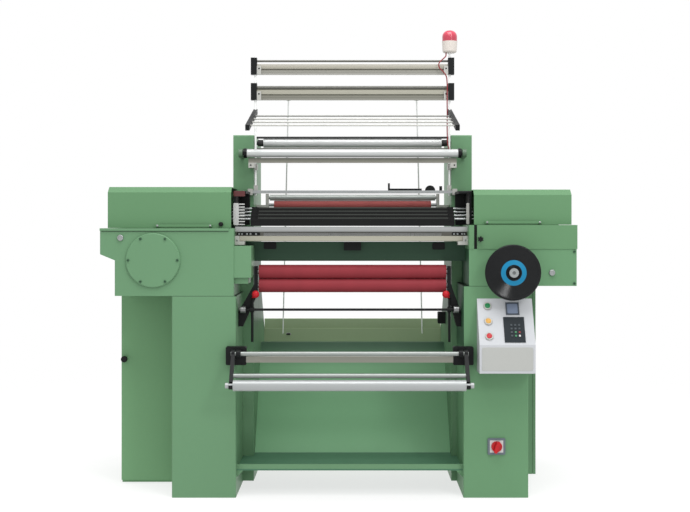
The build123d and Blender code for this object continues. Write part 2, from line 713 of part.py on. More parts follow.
def cabinet_door():
    """A folded door pan with a round knob at its free edge."""
    x0 = CABINET_OUTER_X
    x1 = LEFT_COLUMN_OUTER_X - DOOR_SIDE_GAP
    z0 = DOOR_BOTTOM_GAP
    z1 = LEFT_COLUMN_HEIGHT - DOOR_TOP_GAP
    front = door_front_y()
    back = CABINET_FRONT_Y - SEAT_GAP
    pan = block(x0, x1, front, back, z0, z1)
    pan -= block(x0 + DOOR_WALL, x1 - DOOR_WALL, front + DOOR_WALL, back + CUT_OVERRUN,
                 z0 + DOOR_WALL, z1 - DOOR_WALL)
    knob_x = x0 + DOOR_KNOB_INSET
    stem = rod_y(knob_x, front - DOOR_KNOB_LENGTH, front, DOOR_KNOB_Z, DOOR_KNOB_STEM / 2)
    head_end = front - DOOR_KNOB_STEM
    head = rod_y(knob_x, front - DOOR_KNOB_LENGTH, head_end, DOOR_KNOB_Z, DOOR_KNOB_DIAMETER / 2)
    head = fillet(head.edges(), DOOR_KNOB_STEM / 3)
    return group([pan, stem + head])


def right_cabinet():
    """The closed electrical cabinet behind the right column, with a seam round its front panel."""
    near = SIDE_FRAME_INNER_X + SIDE_FRAME_THICKNESS
    body = block(near, RIGHT_CABINET_OUTER_X, RIGHT_CABINET_FRONT_Y, RIGHT_CABINET_BACK_Y,
                 0, RIGHT_COLUMN_HEIGHT)
    body += block(near, RIGHT_COLUMN_OUTER_X, COLUMN_DEPTH, RIGHT_CABINET_FRONT_Y, 0, RIGHT_COLUMN_HEIGHT)
    seam_x = RIGHT_CABINET_OUTER_X - RIGHT_CABINET_EDGE
    seam = block(seam_x, seam_x + RIGHT_CABINET_SEAM, RIGHT_CABINET_FRONT_Y - CUT_OVERRUN,
                 RIGHT_CABINET_FRONT_Y + RIGHT_CABINET_SEAM, 0, RIGHT_COLUMN_HEIGHT)
    return body - seam


def hinge_height(top_z):
    """The height of the hinge line of a cover whose top face is given."""
    return top_z - COVER_HINGE_RADIUS


def cover_mount(x0, x1, base_z, top_z):
    """The fixed back wall of a cover, with two knuckles and the hinge pin between them."""
    pin_z = hinge_height(top_z)
    half_wall = COVER_BACK_WALL / 2
    low = pin_z - COVER_HINGE_RADIUS - COVER_SEAT_LIFT
    wall = block(x0, x1, COVER_BACK_Y - half_wall, COVER_BACK_Y + half_wall, base_z, low)
    mount = wall + rod_x(x0, x1, COVER_BACK_Y, pin_z, COVER_HINGE_PIN_RADIUS)
    for start in (x0, x1 - COVER_HINGE_KNUCKLE):
        end = start + COVER_HINGE_KNUCKLE
        mount += rod_x(start, end, COVER_BACK_Y, pin_z, COVER_HINGE_RADIUS)
        mount += block(start, end, COVER_BACK_Y - half_wall, COVER_BACK_Y + half_wall, low, pin_z)
    return mount


def cover_shell(x0, x1, closed_x, base_z, top_z):
    """A folded lift-up cover with one end wall and a hinge knuckle along its rear top edge."""
    pin_z = hinge_height(top_z)
    bottom = base_z + COVER_SEAT_LIFT
    fold = [
        (COVER_BACK_Y, top_z),
        (COVER_FRONT_Y + COVER_CHAMFER_DEPTH, top_z),
        (COVER_FRONT_Y, top_z - COVER_CHAMFER_HEIGHT),
        (COVER_FRONT_Y, bottom),
    ]
    shell = prism_x(folded_outline(fold, COVER_WALL), x0, x1)
    back_edge = COVER_BACK_Y - COVER_HINGE_RADIUS - COVER_SEAT_LIFT
    end_outline = [(back_edge, top_z)] + fold[1:] + [(back_edge, bottom)]
    inner_x = closed_x + math.copysign(COVER_WALL, (x0 + x1) / 2 - closed_x)
    shell += prism_x(end_outline, closed_x, inner_x)
    knuckle_start = x0 + COVER_WALL + COVER_HINGE_KNUCKLE + SEAT_GAP
    knuckle_end = x1 - COVER_WALL - COVER_HINGE_KNUCKLE - SEAT_GAP
    for start, end in ((x0 - CUT_OVERRUN, knuckle_start), (knuckle_end, x1 + CUT_OVERRUN)):
        shell -= block(start, end, back_edge, COVER_BACK_Y + CUT_OVERRUN,
                       pin_z - COVER_HINGE_RADIUS, top_z + CUT_OVERRUN)
    shell += rod_x(knuckle_start, knuckle_end, COVER_BACK_Y, pin_z, COVER_HINGE_RADIUS)
    return shell - rod_x(knuckle_start - CUT_OVERRUN, knuckle_end + CUT_OVERRUN, COVER_BACK_Y, pin_z,
                         COVER_HINGE_PIN_RADIUS + RUN_FIT)


def cover_handle(x0, length, base_z):
    """A lifting rail along the foot of a cover, on two posts."""
    low = base_z + HANDLE_LIFT
    high = low + HANDLE_RAIL_HEIGHT
    face = COVER_FRONT_Y - HANDLE_STAND_OFF
    rail = block(x0, x0 + length, face - HANDLE_RAIL_DEPTH, face, low, high)
    rail += block(x0, x0 + HANDLE_POST, face, COVER_FRONT_Y, low, high)
    return rail + block(x0 + length - HANDLE_POST, x0 + length, face, COVER_FRONT_Y, low, high)


def left_cover():
    """The left cover with its lifting rail and its latch knob."""
    shell = cover_shell(LEFT_COVER_OUTER_X, LEFT_COVER_INNER_X, LEFT_COVER_OUTER_X,
                        GEAR_BOX_TOP_Z, LEFT_COVER_TOP_Z)
    shell += cover_handle(LEFT_HANDLE_X, LEFT_HANDLE_LENGTH, GEAR_BOX_TOP_Z)
    knob_z = GEAR_BOX_TOP_Z + LATCH_KNOB_LIFT
    knob = rod_y(LATCH_KNOB_X, COVER_FRONT_Y - LATCH_KNOB_LENGTH, COVER_FRONT_Y, knob_z, LATCH_KNOB_RADIUS)
    return group([shell, fillet(knob.edges().group_by(Axis.Y)[0], LATCH_KNOB_RADIUS / 3)])


def right_cover():
    """The right cover with its lifting rail."""
    shell = cover_shell(RIGHT_COVER_INNER_X, RIGHT_COVER_OUTER_X, RIGHT_COVER_OUTER_X,
                        RIGHT_HEAD_TOP_Z, RIGHT_COVER_TOP_Z)
    return shell + cover_handle(RIGHT_HANDLE_X, RIGHT_HANDLE_LENGTH, RIGHT_HEAD_TOP_Z)


def drum_stand(y0):
    """A bearing stand of the pattern drum."""
    top_z = DRUM_Z + DRUM_STAND_HEAD
    outline = [
        (DRUM_X - DRUM_STAND_HALF, GEAR_BOX_TOP_Z),
        (DRUM_X + DRUM_STAND_HALF, GEAR_BOX_TOP_Z),
        (DRUM_X + DRUM_STAND_HEAD, top_z),
        (DRUM_X - DRUM_STAND_HEAD, top_z),
    ]
    return prism_y(outline, y0, y0 + DRUM_STAND_THICKNESS)


def left_gear_box():
    """The cast gear box on the left column, notched for the side frame."""
    outline = [
        (GEAR_BOX_INNER_X, LEFT_COLUMN_HEIGHT),
        (GEAR_BOX_INNER_X, GEAR_BOX_TOP_Z),
        (GEAR_BOX_LEFT_X, GEAR_BOX_TOP_Z),
        (GEAR_BOX_LEFT_X, GEAR_BOX_NOSE_Z),
        (GEAR_BOX_FOOT_X, GEAR_BOX_SLANT_Z),
        (GEAR_BOX_FOOT_X, LEFT_COLUMN_HEIGHT),
    ]
    body = prism_y(outline, 0, GEAR_BOX_DEPTH)
    front_edges = body.edges().filter_by(Axis.Z).group_by(Axis.Y)[0]
    body = fillet(front_edges, GEAR_BOX_EDGE_RADIUS)
    notch_x = -SIDE_FRAME_INNER_X - SIDE_FRAME_THICKNESS - GEAR_BOX_NOTCH_GAP
    body -= block(notch_x, GEAR_BOX_INNER_X + CUT_OVERRUN, COLUMN_DEPTH, GEAR_BOX_DEPTH + CUT_OVERRUN,
                  LEFT_COLUMN_HEIGHT - CUT_OVERRUN, GEAR_BOX_TOP_Z + CUT_OVERRUN)
    body += block(GEAR_BOX_LEFT_X, GEAR_BOX_INNER_X - LIP_SETBACK, -LIP_REACH, LIP_REACH,
                  GEAR_BOX_TOP_Z - LIP_HEIGHT, GEAR_BOX_TOP_Z)
    body += cover_mount(LEFT_COVER_OUTER_X + COVER_WALL + SEAT_GAP, LEFT_COVER_INNER_X - COVER_WALL,
                        GEAR_BOX_TOP_Z, LEFT_COVER_TOP_Z)
    for y0 in (DRUM_STAND_FRONT_Y, DRUM_STAND_BACK_Y):
        body += drum_stand(y0)
    stand_end = DRUM_STAND_BACK_Y + DRUM_STAND_THICKNESS
    body -= rod_y(DRUM_X, DRUM_STAND_FRONT_Y - CUT_OVERRUN, stand_end + CUT_OVERRUN, DRUM_Z,
                  DRUM_SHAFT_RADIUS + RUN_FIT)
    return body - rod_x(GEAR_BOX_INNER_X - MAIN_SHAFT_BORE_DEPTH, GEAR_BOX_INNER_X + CUT_OVERRUN,
                        MAIN_SHAFT_Y, MAIN_SHAFT_Z, MAIN_SHAFT_RADIUS + RUN_FIT)


def gear_box_cover():
    """The round inspection cover on the gear box front."""
    disc = rod_y(ROUND_COVER_X, -ROUND_COVER_THICKNESS, 0, ROUND_COVER_Z, ROUND_COVER_RADIUS)
    return chamfer(disc.edges().group_by(Axis.Y)[0], ROUND_COVER_EDGE)


def socket_bolt(x, face_y, z):
    """A bolt head with a hexagon socket, facing the front."""
    head = rod_y(x, face_y - COVER_BOLT_HEIGHT, face_y, z, COVER_BOLT_RADIUS)
    sketch = Rot(90, 0, 0) * RegularPolygon(COVER_BOLT_SOCKET_RADIUS, 6)
    sketch = Pos(x, face_y - COVER_BOLT_HEIGHT, z) * sketch
    return head - extrude(sketch, amount=COVER_BOLT_SOCKET_DEPTH, both=True)


def cover_bolts():
    """The bolts of the round cover and the two screws of the right head."""
    bolts = []
    circle = ROUND_COVER_RADIUS - COVER_BOLT_INSET
    for index in range(COVER_BOLT_COUNT):
        angle = 2 * math.pi * index / COVER_BOLT_COUNT
        x = ROUND_COVER_X + circle * math.cos(angle)
        z = ROUND_COVER_Z + circle * math.sin(angle)
        bolts.append(socket_bolt(x, -ROUND_COVER_THICKNESS, z))
    screw_x = RIGHT_HEAD_OUTER_X - RIGHT_HEAD_STEP - HEAD_SCREW_INSET
    for z in (RIGHT_COLUMN_HEIGHT + HEAD_SCREW_INSET, RIGHT_HEAD_SEAM_Z - HEAD_SCREW_INSET):
        bolts.append(socket_bolt(screw_x, 0, z))
    return group(bolts)


def oil_sight(x, z):
    """A turned oil sight with a sunken lens."""
    body = rod_y(x, -SIGHT_HEIGHT, 0, z, SIGHT_RADIUS)
    body = fillet(body.edges().group_by(Axis.Y)[0], SIGHT_LENS_DEPTH)
    return body - rod_y(x, -SIGHT_HEIGHT - CUT_OVERRUN, SIGHT_LENS_DEPTH - SIGHT_HEIGHT, z, SIGHT_LENS_RADIUS)


def right_head_box():
    """The lower right head, bored for the main shaft and the handwheel shaft."""
    body = block(RIGHT_HEAD_INNER_X, RIGHT_HEAD_OUTER_X - RIGHT_HEAD_STEP, 0, RIGHT_HEAD_DEPTH,
                 RIGHT_COLUMN_HEIGHT, RIGHT_HEAD_SEAM_Z)
    body = fillet(body.edges().filter_by(Axis.Z).group_by(Axis.Y)[0], GEAR_BOX_EDGE_RADIUS)
    body -= rod_x(RIGHT_HEAD_INNER_X - CUT_OVERRUN, RIGHT_HEAD_INNER_X + MAIN_SHAFT_BORE_DEPTH,
                  MAIN_SHAFT_Y, MAIN_SHAFT_Z, MAIN_SHAFT_RADIUS + RUN_FIT)
    return body - rod_y(WHEEL_X, -CUT_OVERRUN, WHEEL_SHAFT_DEPTH, WHEEL_Z, WHEEL_SHAFT_RADIUS + RUN_FIT)


def right_head_band():
    """The upper right head with its slot, the bore of its hand knob and the cover mount."""
    body = block(RIGHT_HEAD_INNER_X, RIGHT_HEAD_OUTER_X, -RIGHT_HEAD_STEP, RIGHT_HEAD_DEPTH,
                 RIGHT_HEAD_SEAM_Z, RIGHT_HEAD_TOP_Z)
    body = fillet(body.edges().filter_by(Axis.Z).group_by(Axis.Y)[0], GEAR_BOX_EDGE_RADIUS)
    front = -RIGHT_HEAD_STEP - CUT_OVERRUN
    body -= block(RIGHT_HEAD_SLOT_X, RIGHT_HEAD_SLOT_X + RIGHT_HEAD_SLOT_WIDTH, front,
                  RIGHT_HEAD_SLOT_DEPTH, RIGHT_HEAD_SEAM_Z - CUT_OVERRUN, RIGHT_HEAD_TOP_Z + CUT_OVERRUN)
    body -= rod_y(HEAD_KNOB_X, front, HEAD_KNOB_BORE_DEPTH, HEAD_KNOB_Z, HEAD_KNOB_STEM_RADIUS + RUN_FIT)
    return body + cover_mount(RIGHT_COVER_INNER_X + COVER_WALL, RIGHT_COVER_OUTER_X - COVER_WALL - SEAT_GAP,
                              RIGHT_HEAD_TOP_Z, RIGHT_COVER_TOP_Z)


def head_knob():
    """A fluted hand knob on its stem."""
    face = -RIGHT_HEAD_STEP - HEAD_KNOB_STEM
    grip = rod_y(HEAD_KNOB_X, face - HEAD_KNOB_LENGTH, face, HEAD_KNOB_Z, HEAD_KNOB_RADIUS)
    for index in range(KNOB_FLUTES):
        angle = 2 * math.pi * index / KNOB_FLUTES
        x = HEAD_KNOB_X + HEAD_KNOB_RADIUS * math.cos(angle)
        z = HEAD_KNOB_Z + HEAD_KNOB_RADIUS * math.sin(angle)
        grip -= rod_y(x, face - HEAD_KNOB_LENGTH - CUT_OVERRUN, face + CUT_OVERRUN, z, KNOB_FLUTE_RADIUS)
    return grip + rod_y(HEAD_KNOB_X, face, HEAD_KNOB_BORE_DEPTH - CUT_OVERRUN, HEAD_KNOB_Z,
                        HEAD_KNOB_STEM_RADIUS)


def weft_rod_place(index):
    """The (y, z) place of the rods of one weft bar."""
    y = WEFT_BAR_FIRST_Y + index * WEFT_BAR_PITCH_Y
    z = WEFT_BAR_FIRST_Z + index * WEFT_BAR_PITCH_Z + WEFT_BAR_HEIGHT - WEFT_ROD_DROP
    return y, z


def bar_end_frame(side):
    """A bracket of three plates; its outer plate guides the rods of the weft bars."""
    base = GEAR_BOX_TOP_Z if side < 0 else RIGHT_HEAD_TOP_Z
    near = END_FRAME_OUTER_X - END_FRAME_WIDTH
    inner = END_FRAME_OUTER_X - END_FRAME_PLATE
    frame = side_block(side, inner, END_FRAME_OUTER_X, END_FRAME_FRONT_Y, END_FRAME_BACK_Y, base,
                       END_FRAME_TOP_Z)
    top = side_block(side, near, inner, END_FRAME_FRONT_Y, END_FRAME_BACK_Y,
                     END_FRAME_TOP_Z - END_FRAME_PLATE, END_FRAME_TOP_Z)
    back = side_block(side, near, inner, END_FRAME_BACK_Y - END_FRAME_PLATE, END_FRAME_BACK_Y,
                      RIGHT_HEAD_TOP_Z, END_FRAME_TOP_Z)
    frame += top + back
    corner = frame.edges().filter_by(Axis.X).group_by(Axis.Y)[0].group_by(Axis.Z)[-1]
    frame = fillet(corner, END_FRAME_PLATE / 2)
    for index in range(WEFT_BAR_COUNT):
        y, z = weft_rod_place(index)
        frame -= rod_x(side * (inner - CUT_OVERRUN), side * (END_FRAME_OUTER_X + CUT_OVERRUN), y, z,
                       WEFT_ROD_DIAMETER / 2 + RUN_FIT)
    return frame


def weft_bar(index):
    """A grooved weft bar with a clamp and a guide rod at each end."""
    y, rod_z0 = weft_rod_place(index)
    low = WEFT_BAR_FIRST_Z + index * WEFT_BAR_PITCH_Z
    half = WEFT_BAR_THICKNESS / 2
    bar = block(-WEFT_BAR_HALF, WEFT_BAR_HALF, y - half, y + half, low, low + WEFT_BAR_HEIGHT)
    middle = low + WEFT_BAR_HEIGHT / 2
    bar -= block(-WEFT_BAR_HALF - CUT_OVERRUN, WEFT_BAR_HALF + CUT_OVERRUN, y - half - CUT_OVERRUN,
                 y - half + WEFT_BAR_GROOVE_DEPTH, middle - WEFT_BAR_GROOVE / 2, middle + WEFT_BAR_GROOVE / 2)
    clamp = WEFT_ROD_CLAMP / 2
    for side in (-1, 1):
        bar += side_block(side, WEFT_BAR_HALF - WEFT_ROD_CLAMP_LENGTH, WEFT_BAR_HALF, y - clamp, y + clamp,
                          rod_z0 - clamp, rod_z0 + clamp)
    left_end = DRUM_X + DRUM_TOP_RADIUS + END_PLAY
    left_rod = rod_x(left_end, -WEFT_BAR_HALF, y, rod_z0, WEFT_ROD_DIAMETER / 2)
    right_rod = rod_x(WEFT_BAR_HALF, WEFT_ROD_RIGHT_X, y, rod_z0, WEFT_ROD_DIAMETER / 2)
    return group([bar, left_rod, right_rod])


def link_ring(steps, y):
    """One row of chain links round the drum, each raised by its own number of steps."""
    half = math.pi / DRUM_LINK_COUNT * DRUM_LINK_FILL_SHARE
    points = []
    for index, step in enumerate(steps):
        middle = 2 * math.pi * index / DRUM_LINK_COUNT
        top = DRUM_CORE_RADIUS + DRUM_LOW_LINK + step * DRUM_LINK_STEP
        for angle, radius in ((middle - half, DRUM_CORE_RADIUS), (middle - half, top),
                              (middle + half, top), (middle + half, DRUM_CORE_RADIUS)):
            points.append((DRUM_X + radius * math.cos(angle), DRUM_Z + radius * math.sin(angle)))
    return prism_y(points, y - DRUM_LINK_WIDTH / 2, y + DRUM_LINK_WIDTH / 2)


def pattern_drum():
    """The drum that carries one chain of links for each weft bar."""
    front = DRUM_STAND_FRONT_Y + DRUM_STAND_THICKNESS + END_PLAY
    back = DRUM_STAND_BACK_Y - END_PLAY
    drum = rod_y(DRUM_X, DRUM_STAND_FRONT_Y, DRUM_STAND_BACK_Y + DRUM_STAND_THICKNESS, DRUM_Z,
                 DRUM_SHAFT_RADIUS)
    drum += rod_y(DRUM_X, front + DRUM_FLANGE, back - DRUM_FLANGE, DRUM_Z, DRUM_CORE_RADIUS)
    for index, steps in enumerate(DRUM_LINK_STEPS):
        drum += link_ring(steps, weft_rod_place(index)[0])
    return drum


def bed_front_plate():
    """The needle bed plate between the heads, rebated below and grooved for the needles."""
    outline = [
        (BED_FRONT_Y, BED_TOP_Z),
        (BED_BACK_Y, BED_TOP_Z),
        (BED_BACK_Y, BED_UNDER_Z),
        (BED_FRONT_Y + BED_REBATE, BED_UNDER_Z),
        (BED_FRONT_Y + BED_REBATE, BED_FACE_Z),
        (BED_FRONT_Y, BED_FACE_Z),
    ]
    plate = prism_x(outline, GEAR_BOX_INNER_X, RIGHT_HEAD_INNER_X)
    groove_y = BED_FRONT_Y + BED_REBATE
    return plate - block(GEAR_BOX_INNER_X - CUT_OVERRUN, RIGHT_HEAD_INNER_X + CUT_OVERRUN, groove_y,
                         groove_y + BED_NEEDLE_GROOVE, BED_TOP_Z - BED_NEEDLE_GROOVE_DEPTH,
                         BED_TOP_Z + CUT_OVERRUN)


def needle_bar():
    """The needle bar that reciprocates under the bed."""
    bar = block(NEEDLE_BAR_LEFT_X + SEAT_GAP, NEEDLE_BAR_RIGHT_X - SEAT_GAP, NEEDLE_BAR_FRONT_Y,
                NEEDLE_BAR_FRONT_Y + NEEDLE_BAR_DEPTH, NEEDLE_BAR_TOP_Z - NEEDLE_BAR_HEIGHT, NEEDLE_BAR_TOP_Z)
    return chamfer(bar.edges().filter_by(Axis.X).group_by(Axis.Y)[0], NEEDLE_BAR_EDGE)


def needle_bar_guide(head_x, bar_x):
    """An end block with a toe under the needle bar."""
    toe_x = bar_x + math.copysign(END_BLOCK_TOE, bar_x - head_x)
    front = NEEDLE_BAR_FRONT_Y - NEEDLE_BAR_STROKE
    back = NEEDLE_BAR_FRONT_Y + NEEDLE_BAR_DEPTH
    toe_top = NEEDLE_BAR_TOP_Z - NEEDLE_BAR_HEIGHT - SEAT_GAP
    guide = block(head_x, bar_x, front, back, toe_top - END_BLOCK_UNDER, NEEDLE_BAR_TOP_Z)
    return guide + block(bar_x, toe_x, front, back, toe_top - END_BLOCK_UNDER, toe_top)


def bed_beam():
    """The folded cross beam behind the needle bar, open at the back round the main shaft."""
    fold = [
        (BEAM_BACK_Y, BEAM_TOP_Z),
        (BEAM_FRONT_Y, BEAM_TOP_Z),
        (BEAM_FRONT_Y, BEAM_BOTTOM_Z),
        (BEAM_BACK_Y, BEAM_BOTTOM_Z),
    ]
    return prism_x(folded_outline(fold, BEAM_WALL), GEAR_BOX_INNER_X, RIGHT_HEAD_INNER_X)


def main_shaft():
    """The main shaft between the two heads."""
    reach = MAIN_SHAFT_BORE_DEPTH - END_PLAY
    return rod_x(GEAR_BOX_INNER_X - reach, RIGHT_HEAD_INNER_X + reach, MAIN_SHAFT_Y, MAIN_SHAFT_Z,
                 MAIN_SHAFT_RADIUS)


def stop_motion_parts():
    """The sensor on the beam, the rail, half disc and knob on the guide bar, and a switch box."""
    half = SENSOR_WIDTH / 2
    front = BEAM_FRONT_Y - SENSOR_DEPTH
    sensor = block(-half, half, front, BEAM_FRONT_Y, BEAM_TOP_Z - SENSOR_HEIGHT, BEAM_TOP_Z)
    eye_z = BEAM_TOP_Z - SENSOR_HEIGHT / 2
    for side in (-1, 1):
        sensor += rod_y(side * half / 2, front - SENSOR_EYE_LENGTH, front, eye_z, SENSOR_EYE_RADIUS)
    y1 = COLUMN_DEPTH - GUIDE_BAR_BACK_GAP
    y0 = y1 - GUIDE_BAR_SIZE
    seat = GUIDE_BAR_Z + GUIDE_BAR_SIZE / 2
    right_x = STOP_RAIL_LEFT_X + STOP_RAIL_LENGTH
    rail = block(STOP_RAIL_LEFT_X, right_x, y0, y1, seat, seat + STOP_RAIL_HEIGHT)
    rail += block(STOP_RAIL_LEFT_X, STOP_RAIL_LEFT_X + STOP_RAIL_POST, y0, y1, seat,
                  seat + STOP_RAIL_POST_HEIGHT)
    middle = (y0 + y1) / 2
    disc = rod_y(STOP_DISC_X, middle - STOP_DISC_WIDTH / 2, middle + STOP_DISC_WIDTH / 2, seat,
                 STOP_DISC_RADIUS)
    disc -= block(STOP_DISC_X - STOP_DISC_RADIUS, STOP_DISC_X + STOP_DISC_RADIUS, y0, y1,
                  seat - STOP_DISC_RADIUS, seat)
    knob = rod_z(STOP_KNOB_X, middle, seat, seat + 2 * STOP_KNOB_RADIUS, GUIDE_BAR_SIZE / 2)
    x1 = SIDE_FRAME_INNER_X
    box = block(x1 - LIMIT_BOX_WIDTH, x1, LIMIT_BOX_Y, LIMIT_BOX_Y + LIMIT_BOX_DEPTH, LIMIT_BOX_Z,
                LIMIT_BOX_Z + LIMIT_BOX_HEIGHT)
    box = fillet(box.edges().filter_by(Axis.Y).group_by(Axis.X)[0], LIMIT_BOX_EDGE)
    return group([sensor, rail, disc, knob, box])


def take_down_bracket(side):
    """A slanted arm from the column to the roller ends, with a lug for the lever shaft."""
    pad = -LEFT_COLUMN_INNER_X if side < 0 else RIGHT_COLUMN_INNER_X
    near = TAKE_DOWN_HALF + TAKE_DOWN_END_GAP
    far = near + BRACKET_PLATE
    outline = [
        (near, BRACKET_TOP_Z),
        (far, BRACKET_TOP_Z),
        (far, BRACKET_SHOULDER_Z),
        (pad, BRACKET_PAD_HIGH_Z),
        (pad, BRACKET_PAD_LOW_Z),
        (pad - BRACKET_PAD_FOOT, BRACKET_PAD_LOW_Z),
        (near, BRACKET_KNEE_Z),
    ]
    arm = prism_y([(side * x, z) for x, z in outline], BRACKET_FRONT_Y, BRACKET_FRONT_Y + BRACKET_DEPTH)
    lug_far = pad - LEVER_LUG_INSET
    lug_near = lug_far - LEVER_LUG_WIDTH
    arm += rod_x(side * lug_near, side * lug_far, LEVER_SHAFT_Y, LEVER_SHAFT_Z, LEVER_LUG_RADIUS)
    arm += side_block(side, lug_near, lug_far, LEVER_SHAFT_Y, BRACKET_FRONT_Y + LEVER_LUG_RADIUS,
                      LEVER_SHAFT_Z - LEVER_LUG_RADIUS, LEVER_SHAFT_Z + LEVER_LUG_RADIUS)
    arm -= rod_x(side * (lug_near - CUT_OVERRUN), side * (lug_far + CUT_OVERRUN), LEVER_SHAFT_Y,
                 LEVER_SHAFT_Z, LEVER_SHAFT_RADIUS + RUN_FIT)
    for z in (UPPER_ROLLER_Z, LOWER_ROLLER_Z):
        arm -= rod_x(side * (near - CUT_OVERRUN), side * (far + CUT_OVERRUN), TAKE_DOWN_Y, z,
                     TAKE_DOWN_JOURNAL_RADIUS + RUN_FIT)
    return arm


def take_down_roller(z):
    """A rubber covered take-down roller with its journals."""
    end = TAKE_DOWN_HALF + TAKE_DOWN_END_GAP + BRACKET_PLATE
    roller = rod_x(-TAKE_DOWN_HALF, TAKE_DOWN_HALF, TAKE_DOWN_Y, z, TAKE_DOWN_RADIUS)
    return roller + rod_x(-end, end, TAKE_DOWN_Y, z, TAKE_DOWN_JOURNAL_RADIUS)


def take_down_gear_case():
    """The casing of the take-down drive on the left head, with a smaller sump below."""
    case = block(GEAR_BOX_INNER_X, GEAR_CASE_INNER_X, GEAR_CASE_FRONT_Y, GEAR_CASE_BACK_Y,
                 GEAR_CASE_BOTTOM_Z, GEAR_CASE_TOP_Z)
    inner_edges = case.edges().filter_by(Axis.Z).group_by(Axis.X)[-1]
    case = fillet(inner_edges, GEAR_CASE_EDGE)
    inset = GEAR_CASE_SUMP_INSET
    return case + block(GEAR_BOX_INNER_X, GEAR_CASE_INNER_X - inset, GEAR_CASE_FRONT_Y + inset,
                        GEAR_CASE_BACK_Y - inset, GEAR_CASE_BOTTOM_Z - GEAR_CASE_SUMP, GEAR_CASE_BOTTOM_Z)


def pressure_lever(x, inward):
    """A rod lever with a collar on the lever shaft, and the ball that tops it."""
    half = LEVER_COLLAR_WIDTH / 2
    top = (x, LEVER_SHAFT_Y, LEVER_TOP_Z)
    centre = (x + inward * LEVER_BALL_INSET, LEVER_BALL_Y, LEVER_BALL_Z)
    ball = Pos(*centre) * Sphere(LEVER_BALL_RADIUS)
    lever = rod_x(x - half, x + half, LEVER_SHAFT_Y, LEVER_SHAFT_Z, LEVER_COLLAR_RADIUS)
    lever += rod_z(x, LEVER_SHAFT_Y, LEVER_BOTTOM_Z, LEVER_TOP_Z, LEVER_ROD_RADIUS)
    lever += Pos(*top) * Sphere(LEVER_ROD_RADIUS)
    lever += rod_between(top, centre, LEVER_ROD_RADIUS) - ball
    lever -= rod_x(x - half - CUT_OVERRUN, x + half + CUT_OVERRUN, LEVER_SHAFT_Y, LEVER_SHAFT_Z,
                   LEVER_SHAFT_RADIUS + RUN_FIT)
    return [lever, ball]


def pressure_levers():
    """The lever shaft with a lever at each end."""
    shaft = rod_x(LEFT_COLUMN_INNER_X + LEVER_LUG_INSET, RIGHT_COLUMN_INNER_X - LEVER_LUG_INSET,
                  LEVER_SHAFT_Y, LEVER_SHAFT_Z, LEVER_SHAFT_RADIUS)
    return group([shaft] + pressure_lever(LEFT_LEVER_X, 1) + pressure_lever(RIGHT_LEVER_X, -1))


def feed_plate(side):
    """An end plate of the warp feed rollers with a foot to the side frame."""
    near = FEED_ROLLER_HALF + FEED_PLATE_GAP
    far = near + FEED_PLATE
    low = PULL_ROLLER_Z - PULL_ROLLER_RADIUS
    y0 = FEED_ROLLER_Y - FEED_PLATE_HALF_DEPTH
    y1 = FEED_ROLLER_Y + FEED_PLATE_HALF_DEPTH
    plate = side_block(side, near, far, y0, y1, low, FEED_ROLLER_Z + FEED_PLATE_TOP)
    plate += side_block(side, far, SIDE_FRAME_INNER_X, y0, y1, low, low + FEED_PLATE_FOOT)
    for z in (FEED_ROLLER_Z, PULL_ROLLER_Z):
        plate -= rod_x(side * (near - CUT_OVERRUN), side * (far + CUT_OVERRUN), FEED_ROLLER_Y, z,
                       FEED_JOURNAL_RADIUS + RUN_FIT)
    return plate


def feed_pair_roller(half, z, radius):
    """One roller of the warp feed pair with its journals."""
    end = FEED_ROLLER_HALF + FEED_PLATE_GAP + FEED_PLATE
    roller = rod_x(-half, half, FEED_ROLLER_Y, z, radius)
    return roller + rod_x(-end, end, FEED_ROLLER_Y, z, FEED_JOURNAL_RADIUS)


def let_off_arm_start():
    """The distance from the centreline to the near face of a let-off arm."""
    return FRONT_LET_OFF_HALF + LET_OFF_CAP + LET_OFF_ARM_GAP


def let_off_arm(side):
    """An arm from the side frame to the front let-off roller."""
    near = let_off_arm_start()
    far = near + LET_OFF_ARM_WIDTH
    arm = side_block(side, near, far, FRONT_LET_OFF_Y, COLUMN_DEPTH, FRONT_LET_OFF_Z - LET_OFF_ARM_RADIUS,
                     FRONT_LET_OFF_Z + LET_OFF_ARM_RADIUS)
    arm += rod_x(side * near, side * far, FRONT_LET_OFF_Y, FRONT_LET_OFF_Z, LET_OFF_ARM_RADIUS)
    return arm - rod_x(side * (near - CUT_OVERRUN), side * (far + CUT_OVERRUN), FRONT_LET_OFF_Y,
                       FRONT_LET_OFF_Z, LET_OFF_JOURNAL_RADIUS + RUN_FIT)


def front_let_off_roller():
    """The front let-off roller with end caps and journals."""
    half = FRONT_LET_OFF_HALF
    cap_end = half + LET_OFF_CAP
    end = let_off_arm_start() + LET_OFF_ARM_WIDTH
    roller = rod_x(-half, half, FRONT_LET_OFF_Y, FRONT_LET_OFF_Z, FRONT_LET_OFF_RADIUS)
    caps = []
    for side in (-1, 1):
        cap = rod_x(side * half, side * cap_end, FRONT_LET_OFF_Y, FRONT_LET_OFF_Z, LET_OFF_CAP_RADIUS)
        caps.append(cap + rod_x(side * cap_end, side * end, FRONT_LET_OFF_Y, FRONT_LET_OFF_Z,
                                LET_OFF_JOURNAL_RADIUS))
    return group([roller] + caps)


